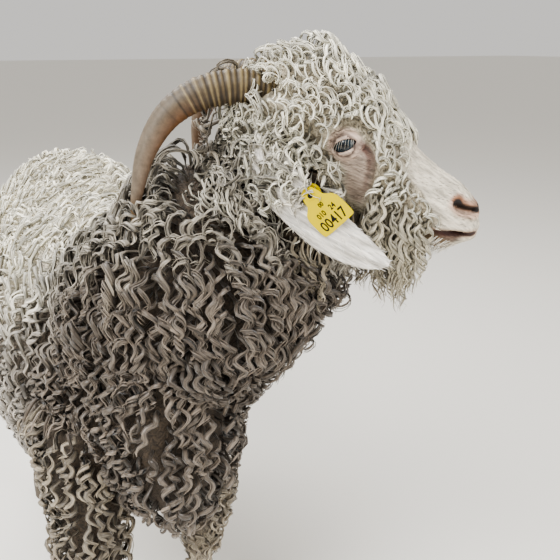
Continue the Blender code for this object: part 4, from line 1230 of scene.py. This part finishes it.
# Mohair has a silky lustre, with a soft sheen along the curls. Single hairs are too fine to show, so the
# streaks are bunches about 1.2 mm wide and some 15 mm long.
mohair, tree, shader = new_material("mohair", {
    "Roughness": 0.40, "Sheen Weight": 0.2, "Sheen Roughness": 0.4,
})
tint = add(tree, "ShaderNodeAttribute", attribute_name="tint")
strip = add(tree, "ShaderNodeUVMap", uv_map="Hair")
strand = add(tree, "ShaderNodeMapping", {"Vector": strip.outputs["UV"], "Scale": (0.8, 0.06, 1)})
streaks = add(tree, "ShaderNodeTexNoise", {
    "Vector": strand.outputs["Vector"], "Scale": 1.0, "Detail": 2.0,
})
shade = add(tree, "ShaderNodeMapRange", {
    "Value": streaks.outputs["Fac"], "From Min": 0.33, "From Max": 0.67, "To Min": 0.50, "To Max": 1.36,
})
tinted = add(tree, "ShaderNodeVectorMath", {
    0: tint.outputs["Color"], 1: shade.outputs["Result"],
}, operation="MULTIPLY")
tree.links.new(tinted.outputs["Vector"], shader.inputs["Base Color"])
bump = add(tree, "ShaderNodeBump", {
    "Height": streaks.outputs["Fac"], "Strength": 0.7, "Distance": 0.0006,
})
tree.links.new(bump.outputs["Normal"], shader.inputs["Normal"])

# In metres: how far apart the locks stand and the staples' heads, how deep the coat is, how long a lock
# and one of its waves are, its curl's radius, and how wide a ribbon and a hair are.
TRUNK_GAP, NECK_GAP, HEAD_GAP, THROAT_GAP, TAIL_GAP = 0.0128, 0.0098, 0.0060, 0.0054, 0.011
TRUNK_STAPLE, HEAD_STAPLE = 0.030, 0.020
TRUNK_COAT, NECK_COAT, TAIL_COAT, EAR_COAT, THROAT_COAT = 0.028, 0.036, 0.014, 0.012, 0.012
TRUNK_LOCK, NECK_LOCK, HEAD_LOCK, LEG_LOCK = 0.045, 0.052, 0.026, 0.043
TRUNK_WAVE, HEAD_WAVE, THROAT_WAVE, NAPE_WAVE = 0.0240, 0.0165, 0.022, 0.020
TRUNK_CURL, HEAD_CURL, THROAT_CURL = 0.0078, 0.0055, 0.0048
TRUNK_RIBBON, NECK_RIBBON, HEAD_RIBBON = 0.0064, 0.0052, 0.0042
TRUNK_HAIR, HEAD_HAIR = 0.0015, 0.0011
# The wool under the ears and the tag is short and flat.
FLAT_COAT, FLAT_LOCK, FLAT_CURL, FLAT_RIBBON = 0.005, 0.022, 0.0022, 0.0026

# Where locks may stand: not on the face, the shanks, the ears' lower two thirds or their inner sides.
head_x, head_y, head_z = (np.array(HEAD)[:3, column] / MM for column in range(3))
candidates, ways = skin_samples(count=150000, seed=11, here=np.ones(len(skin_points), bool))
part, part_place = find_part(candidates)
local = to_head(candidates)
from_middle = np.abs(local[:, 1])
on_head, on_neck, on_ear = is_part(part, "head"), is_part(part, "neck"), is_part(part, "ear")
on_leg = is_part(part, "foreleg", "hindleg")
inner_side = ways @ head_y * np.sign(local[:, 1]) < 0
woolly = ~(on_ear & ((part_place[:, 0] > 0.33) | inner_side))
woolly &= ~(on_head & (bare_face(local) > -WOOL_GAP))
woolly &= ~(on_leg & (candidates[:, 2] < 0.170))
# Only short wool grows where the ears and the tag hang, and the nape's wool is like the head's.
under_ear = (from_middle > 50) & (from_middle < 95) & (local[:, 0] > -40) & (local[:, 0] < 92)
under_ear &= ~on_ear & (local[:, 2] < np.where(local[:, 0] < 32, -52, -38)) & (local[:, 2] > -100)
nape = on_neck & (local[:, 0] > -118) & (local[:, 2] > -120) & (from_middle < 75)
on_head = on_head | nape
on_throat = on_head & (ways @ head_z < -0.25) & (local[:, 0] > -20)
top = ease(ways[:, 2], 0.35, 0.8)
spacing = np.full(len(candidates), TRUNK_GAP)
spacing[on_neck] = NECK_GAP - 0.0014 * ease(candidates[on_neck, 2], 0.58, 0.68)
spacing[on_head | on_ear] = HEAD_GAP
spacing[on_throat] = THROAT_GAP
spacing[is_part(part, "tail")] = TAIL_GAP
spacing = spacing * (1 - 0.20 * top * ~on_head)
chosen = np.flatnonzero(woolly)
kept = chosen[spread_out(candidates[chosen], spacing[chosen])]

draw = np.random.default_rng(23)
n = len(kept)
place, out, part, part_place = candidates[kept], ways[kept], part[kept], part_place[kept]
local, top, under_ear, nape = local[kept], top[kept], under_ear[kept], nape[kept]
on_neck, on_leg, on_ear = on_neck[kept], on_leg[kept], on_ear[kept]
on_head = on_head[kept] | on_ear
throat = on_throat[kept] & ~on_ear
# Locks hang, spread from the back's middle on top, and lie forward on the crown.
down = np.tile((-0.25, 0.0, -1.0), (n, 1))
down[on_head] = (0.0, 0.0, -1.0)
down[:, 1] = 0.9 * np.sign(place[:, 1]) * ease(out[:, 2], 0.3, 1.0) * ~on_head
crown = on_head * ease(out @ head_z, 0.1, 0.6)
# Staples: locks near one another share their lie, lift, hand, wave and a common tip.
heads = spread_out(place, np.where(on_head, HEAD_STAPLE, TRUNK_STAPLE))
tree_of = kdtree.KDTree(len(heads))
for number, index in enumerate(heads):
    tree_of.insert(place[index], number)
tree_of.balance()
staple = np.array([tree_of.find(point)[1] for point in place])
from_staple = place[heads][staple] - place
staple_lift = (0.70 + 0.42 * draw.random(len(heads)))[staple]
staple_hand = np.where(draw.random(len(heads)) < 0.5, -1.0, 1.0)[staple]
staple_tone = (draw.random(len(heads)) * 2 - 1)[staple]
wild = np.where(on_head, 0.7 * ~throat, 0.30 + 0.70 * top)
own = (draw.random((n, 3)) - 0.5) * 2
shared = ((draw.random((len(heads), 3)) - 0.5) * 2)[staple]
wander = np.where(on_head[:, None], own, 0.75 * shared + 0.25 * own)
lie = down + 2.2 * crown[:, None] * head_x + wild[:, None] * 1.1 * wander
lie = np.where(throat[:, None], down, unit(lie - out * (lie * out).sum(axis=1, keepdims=True)))
gather = from_staple * 0.40
gather = gather - out * (gather * out).sum(axis=1, keepdims=True)

# The coat's depth, each curl's radius, and each lock's length, number of turns and lean, first for the
# trunk, neck, legs and head, and then for the throat, the nape and the wool under the ears.
coat = np.full(n, TRUNK_COAT)
coat[on_neck] = NECK_COAT
coat[is_part(part, "tail")] = TAIL_COAT
coat = np.where(on_leg, 0.016 * ease(place[:, 2], 0.19, 0.30) + 0.006, coat)
crown_coat = np.interp(local[:, 0], [-112, -72, -8, 11, 28, 45, 67], [16, 30, 26, 19, 12, 8, 6]) * MM
coat = np.where(on_head, crown_coat, coat)
coat = np.where(on_ear, EAR_COAT, coat)
radius = np.where(on_head, HEAD_CURL, TRUNK_CURL) * (0.75 + 0.5 * draw.random(n))
radius = np.minimum(radius, coat * 0.8)
length = np.where(on_head, HEAD_LOCK, np.where(on_neck, NECK_LOCK, TRUNK_LOCK))
length = length * (1 - 0.30 * top * ~on_head) * (0.85 + 0.3 * draw.random(n))
length = np.where(on_leg, LEG_LOCK, length)
staple_wave = (0.82 + 0.42 * draw.random(len(heads)))[staple]
head_wave = HEAD_WAVE / (0.9 + 0.25 * draw.random(n))
turns = length / np.where(on_head, head_wave, TRUNK_WAVE * staple_wave)
loose_lean = 0.6 * (draw.random(n) - 0.5)
lean = np.where(on_head, 1.05 + loose_lean, 0.70 + 0.35 * top + loose_lean)
reach_down = np.interp(
    local[:, 0], [-20, 30, 70, 105, 115, 130], [0.045, 0.07, 0.085, 0.080, 0.030, 0.016]
)
length = np.where(throat, reach_down * (0.75 + 0.4 * draw.random(n)), length)
lean = np.where(throat, 0.45 + 0.5 * loose_lean, lean)
radius = np.where(throat, THROAT_CURL * (0.7 + 0.6 * draw.random(n)), radius)
coat = np.where(throat, THROAT_COAT, coat)
longer = nape & ~throat & ~under_ear
length = np.where(longer, 0.026 + 0.018 * ease(-local[:, 2], 20, 70), length)
turns = np.where(longer, length / NAPE_WAVE, turns)
coat = np.where(under_ear, FLAT_COAT, coat)
radius = np.where(under_ear, FLAT_CURL, radius)
length = np.where(under_ear, FLAT_LOCK, length)
# A lock that would lie over the eye or the bare patch round it ends at the patch's edge. Those from
# behind the eye would swing over the patch with their curls, so they end sooner.
run, _ = ways_over_skin(place, out, lie, length)
over = to_head(run[on_head].reshape(-1, 3)).reshape(-1, STEPS, 3)
deep_in = inside(over[..., 0].ravel(), over[..., 2].ravel(), EYE_PATCH).reshape(-1, STEPS)
near_eye = np.hypot(over[..., 0], over[..., 2] - 1) < 20
from_behind = (local[on_head, 0] < 10)[:, None] & (np.arange(STEPS) > 1)
blocked = (deep_in > np.where(from_behind, -7.0, -WOOL_GAP)) | near_eye
blocked &= np.abs(over[..., 1]) > FACE_SIDE
free = np.ones(n)
free[on_head] = np.where(blocked.any(axis=1), np.argmax(blocked, axis=1) / (STEPS - 1), 1.0)
turns = np.where(throat | under_ear, length / THROAT_WAVE, turns) * free
length = length * free
# Locks of one staple wave side by side: the wave runs through space, not from each root.
in_step = draw.random(n) < np.where(throat, 0.45, np.where(on_head, 0, 0.58 - 0.35 * top))
run_down = (-from_staple * lie).sum(axis=1)
staple_phase = (2 * math.pi * draw.random(len(heads)))[staple]
with np.errstate(invalid="ignore"):
    stepped = staple_phase + staple_hand * 2 * math.pi * turns / length * run_down
stepped = stepped + np.where(throat, 3.5, 1.5) * (draw.random(n) - 0.5)
phase = np.where(in_step, stepped, 2 * math.pi * draw.random(n))
lean = np.where(in_step, 0.30 * lean, lean)

# The colour goes from cream on the back and head to grey flanks and taupe in front, paler on the throat.
cream, taupe, grey = linear("#f6f1df"), linear("#83776a"), linear("#dfd7ca")
rear = 1 - ease(place[:, 0] - 0.06 * ease(place[:, 2], 0.50, 0.60), 0.04, 0.22)
tint = mix(np.tile(taupe, (n, 1)), grey, rear)
tint = mix(tint, cream, ease(place[:, 2], 0.47, 0.60) * rear)
tint = mix(tint, cream, 0.75 * ease(place[:, 2], 0.58, 0.68) * (1 - rear) * top)
tint = mix(tint, "#9c9181", on_neck * ease(place[:, 2], 0.60, 0.78))
tint = mix(tint, cream, (on_head & ~throat) * (1 - 0.75 * longer * ease(-local[:, 2], 15, 70)))
tint = mix(tint, "#d3cab3", throat * 0.9 * ease(local[:, 2], -75, -45))
tint = mix(tint, "#b5a890", throat * 0.9 * (1 - ease(local[:, 2], -75, -45)))
tint = mix(tint, "#b8ab95", on_leg * 0.7)
tint = tint * (1 + 0.18 * staple_tone[:, None] + 0.24 * (draw.random((n, 1)) - 0.5))
width = np.where(on_head, HEAD_RIBBON, np.where(on_neck, NECK_RIBBON, TRUNK_RIBBON - 0.0018 * top))
roots = {
    "place": place,
    "out": out,
    "lie": lie,
    "length": length,
    "radius": radius,
    "lift": np.maximum(coat * staple_lift - radius, 0.002),
    "turns": turns,
    "lean": lean,
    "gather": gather,
    "phase": phase,
    "hand": staple_hand,
    "flatter": np.where(in_step, 0.55, 1.0),
    "sweep": np.where(in_step, 0.68, 1.0),
    "facing": in_step.astype(float),
    "width": np.where(under_ear, FLAT_RIBBON, width),
    "fine": np.where(on_head, HEAD_HAIR, TRUNK_HAIR),
    # How much darker a lock grows towards its root: a dirtier undercoat and painted shade, most in front.
    "deep": np.where(on_head, 0.34, 0.66 - 0.42 * rear - 0.18 * rear * ease(place[:, 2], 0.42, 0.58)),
    "tint": tint,
    "patch": atlas(part, part_place),
}
for name, slot, here, hairs, samples in (
    ("fleece_head", "head_fleece", on_head & ~throat, 2, 13),
    ("fleece_throat", "head_fleece", throat, 2, 22),
    ("fleece_neck", "fleece", on_neck & ~on_head, 3, 17),
    ("fleece_trunk", "fleece", ~on_neck & ~on_head, 1, 14),
):
    chosen = {key: value[here & (free > 0.3)] for key, value in roots.items()}
    for obj in ringlets(name, chosen, hairs, samples, seed=3):
        obj.data.materials.append(mohair)
        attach(obj, "root")

# Short white hair lies flat on the face, ears and shanks. It points back along the face and down the ears,
# and stands in a tuft under the chin.

# Coarse straight hair without the mohair's sheen: half matt, in the hide's own colours. In metres: how
# far apart the hairs stand on the face, the ears and the shanks, how long they are, and how wide.
FACE_GAP, EAR_GAP, SHANK_GAP = 0.0029, 0.0034, 0.0060
FACE_LENGTH, EAR_LENGTH, SHANK_LENGTH = 0.0052, 0.0075, 0.014
FACE_WIDTH, EAR_WIDTH, SHANK_WIDTH = 0.0008, 0.0009, 0.0013
short_hair, tree, shader = new_material("short_hair", {"Roughness": 0.5})
tint = add(tree, "ShaderNodeAttribute", attribute_name="tint")
tree.links.new(tint.outputs["Color"], shader.inputs["Base Color"])
points, ways = skin_samples(count=60000, seed=31, here=skin_bare)
part, place = find_part(points)
local = to_head(points)
on_ear, on_head = is_part(part, "ear"), is_part(part, "head")
# None grows in the nostrils, on the lips, on the lids or under the tag.
from_side = local * (1, 0, 1)
to_nostril, _ = distance_to_line(from_side, flat(NOSTRIL))
to_mouth, _ = distance_to_line(from_side, flat(MOUTH))
on_lid = (np.abs(local[:, 1]) > 28) & (np.hypot(local[:, 0], local[:, 2] - 1) < 17)
grows = ~(on_head & ((to_nostril < 6) | (to_mouth < 3.5) | (local[:, 0] > 150) | on_lid))
in_flag = (points - np.array(TAG_PLACE)[:3, 3]) @ np.array(TAG_PLACE)[:3, :3] / MM**2
under_tag = (np.abs(in_flag[:, 0]) < 22) & (in_flag[:, 2] > -45) & (in_flag[:, 2] < 12)
grows &= ~(under_tag & (np.abs(in_flag[:, 1]) < 14))
spacing = np.where(on_head, FACE_GAP, np.where(on_ear, EAR_GAP, SHANK_GAP))
kept = np.flatnonzero(grows)
kept = kept[spread_out(points[kept], spacing[kept])]
points, ways, part, place, local = points[kept], ways[kept], part[kept], place[kept], local[kept]
on_ear, on_head = on_ear[kept], on_head[kept]
n = len(kept)
ear_line = np.array(EAR_LINE, float)
tangent = unit(row_at(ear_line, place[:, 0] + 0.02)[:, :3] - row_at(ear_line, place[:, 0] - 0.02)[:, :3])
tangent[:, 1] *= np.sign(local[:, 1])
lie = np.tile((0.0, 0.0, -1.0), (n, 1))
lie[on_head] = -head_x - 0.35 * head_z
lie[on_ear] = tangent[on_ear] @ np.stack([head_x, head_y, head_z])
lie = lie + 0.22 * draw.normal(size=(n, 3))
lie = unit(lie - ways * (lie * ways).sum(axis=1, keepdims=True))
tuft = on_head & (local[:, 0] > 126) & (local[:, 2] < -36)
lie[tuft] = unit(-head_z - 0.5 * head_x + 0.2 * draw.normal(size=(tuft.sum(), 3)))
length = np.where(on_head, FACE_LENGTH, np.where(on_ear, EAR_LENGTH, SHANK_LENGTH))
length = length * (0.7 + 0.6 * draw.random(n))
length[tuft] *= 2.6
s = np.linspace(0, 1, 4)[None, :, None]
rise = np.where(on_head | on_ear, 0.0011, 0.0022)[:, None, None]
paths = points[:, None] + lie[:, None] * (length[:, None, None] * s)
paths = paths + ways[:, None] * (rise * s**0.8 - 0.0004)
width = np.where(on_head, FACE_WIDTH, np.where(on_ear, EAR_WIDTH, SHANK_WIDTH))
width = width[:, None] * np.array((0.8, 1.0, 0.8, 0.12))
width[tuft] *= 1.6
hair_tint = skin_tint(points, part) * (0.72 + 0.66 * draw.random((n, 1)))
# On the face the hair parts into fine lines along the muzzle, some 3 mm apart and 20 mm long.
along_muzzle = 0.94 * local[:, 0] + 0.33 * local[:, 2]
over_muzzle = 0.94 * local[:, 2] - 0.33 * local[:, 0]
lines = np.stack([0.05 * along_muzzle, 0.25 * local[:, 1], 0.45 * over_muzzle], axis=1)
parting = np.array([noise.noise(line) for line in lines])
hair_tint *= 1 - 0.55 * (on_head * ease(parting, 0.02, 0.30))[:, None]
hair_tint[tuft] = linear("#ece7dc")
tints = np.repeat(hair_tint[:, None], 4, axis=1) * np.array((0.85, 0.95, 1.03, 1.08))[None, :, None]
tints = np.minimum(tints, 0.9)
sideways = np.cross(ways, lie)[:, None] * np.ones((1, 4, 1))
hairs = [tubes("short_hair", paths, width, width * 0.5, sideways, tints, atlas(part, place), HAIR)]

# Pale lashes stand on the rims of the upper lids and hang over the eyes: stiff tapering hairs, 8 to an
# eye, of the same stuff as the short hair.
LASHES = 8
LASH_LENGTH, LASH_WIDTH = 8.0, 0.00040
for side, name in SIDE_NAME.items():
    centre, ahead, upward, outward = (np.array(v) for v in eye_plane(side))
    turn = np.linspace(math.radians(24), math.radians(122), LASHES) + 0.03 * draw.normal(size=LASHES)
    edge = np.stack([11.6 * np.cos(turn), 6.6 * np.sin(turn)], axis=1)
    depth = np.sqrt(15.4**2 - (edge**2).sum(axis=1))
    root = ahead * edge[:, :1] + upward * edge[:, 1:] + outward * depth[:, None]
    s = np.linspace(0, 1, 6)[None, :, None]
    reach = (LASH_LENGTH + 3.0 * draw.random(LASHES))[:, None, None]
    path = root[:, None] + outward * (reach * 0.42 * np.sin(1.7 * s)) - upward * (reach * 0.85 * s**1.3)
    path = path + ahead * (0.25 * np.cos(turn) - 0.55)[:, None, None] * reach * s
    paths = in_head((centre + path).reshape(-1, 3)).reshape(path.shape)
    width = LASH_WIDTH * np.array((1.0, 1.0, 0.9, 0.8, 0.6, 0.25))[None, :] * np.ones((LASHES, 1))
    tints = np.tile(linear("#c2bbad"), (LASHES, 6, 1))
    at_eye = np.tile((0.42, 0.0 if side == LEFT else 0.5), (LASHES, 1))
    patches = atlas(np.full(LASHES, PARTS.index("head")), at_eye)
    sideways = np.broadcast_to(head_x, paths.shape)
    hairs.append(tubes(f"lashes_{name}", paths, width, width, sideways, tints, patches, HAIR))
for obj in hairs:
    obj.data.materials.append(short_hair)
    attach(obj, "root")

# The goat stands on a plain pale floor, in the soft light of three broad lamps and an even sky. The
# floor is matt paper, so that it takes a soft shadow and no gloss.
bpy.ops.mesh.primitive_plane_add(size=80)
floor = bpy.context.object
floor.name = "floor"
pale_floor, tree, shader = new_material("pale_floor", {
    "Base Color": (*linear("#e9e6df"), 1), "Roughness": 0.9,
})
floor.data.materials.append(pale_floor)
bpy.context.scene.view_settings.look = "AgX - Medium High Contrast"


def area_light(name, place, aim, size, power):
    light = bpy.data.objects.new(name, bpy.data.lights.new(name, "AREA"))
    light.data.size = size
    light.data.energy = power
    light.location = place
    light.rotation_euler = (Vector(aim) - Vector(place)).to_track_quat("-Z", "Y").to_euler()
    bpy.context.scene.collection.objects.link(light)


area_light("key", place=(1.0, -1.6, 2.3), aim=(0.1, 0, 0.5), size=1.4, power=78)
area_light("fill", place=(2.2, 1.2, 1.4), aim=(0.2, 0, 0.5), size=1.8, power=30)
area_light("back", place=(-1.3, -0.5, 2.6), aim=(-0.2, 0, 0.5), size=1.4, power=62)
world = bpy.context.scene.world or bpy.data.worlds.new("world")
bpy.context.scene.world = world
world.use_nodes = True
sky = world.node_tree.nodes["Background"]
sky.inputs["Color"].default_value = (0.86, 0.84, 0.81, 1)
sky.inputs["Strength"].default_value = 0.75
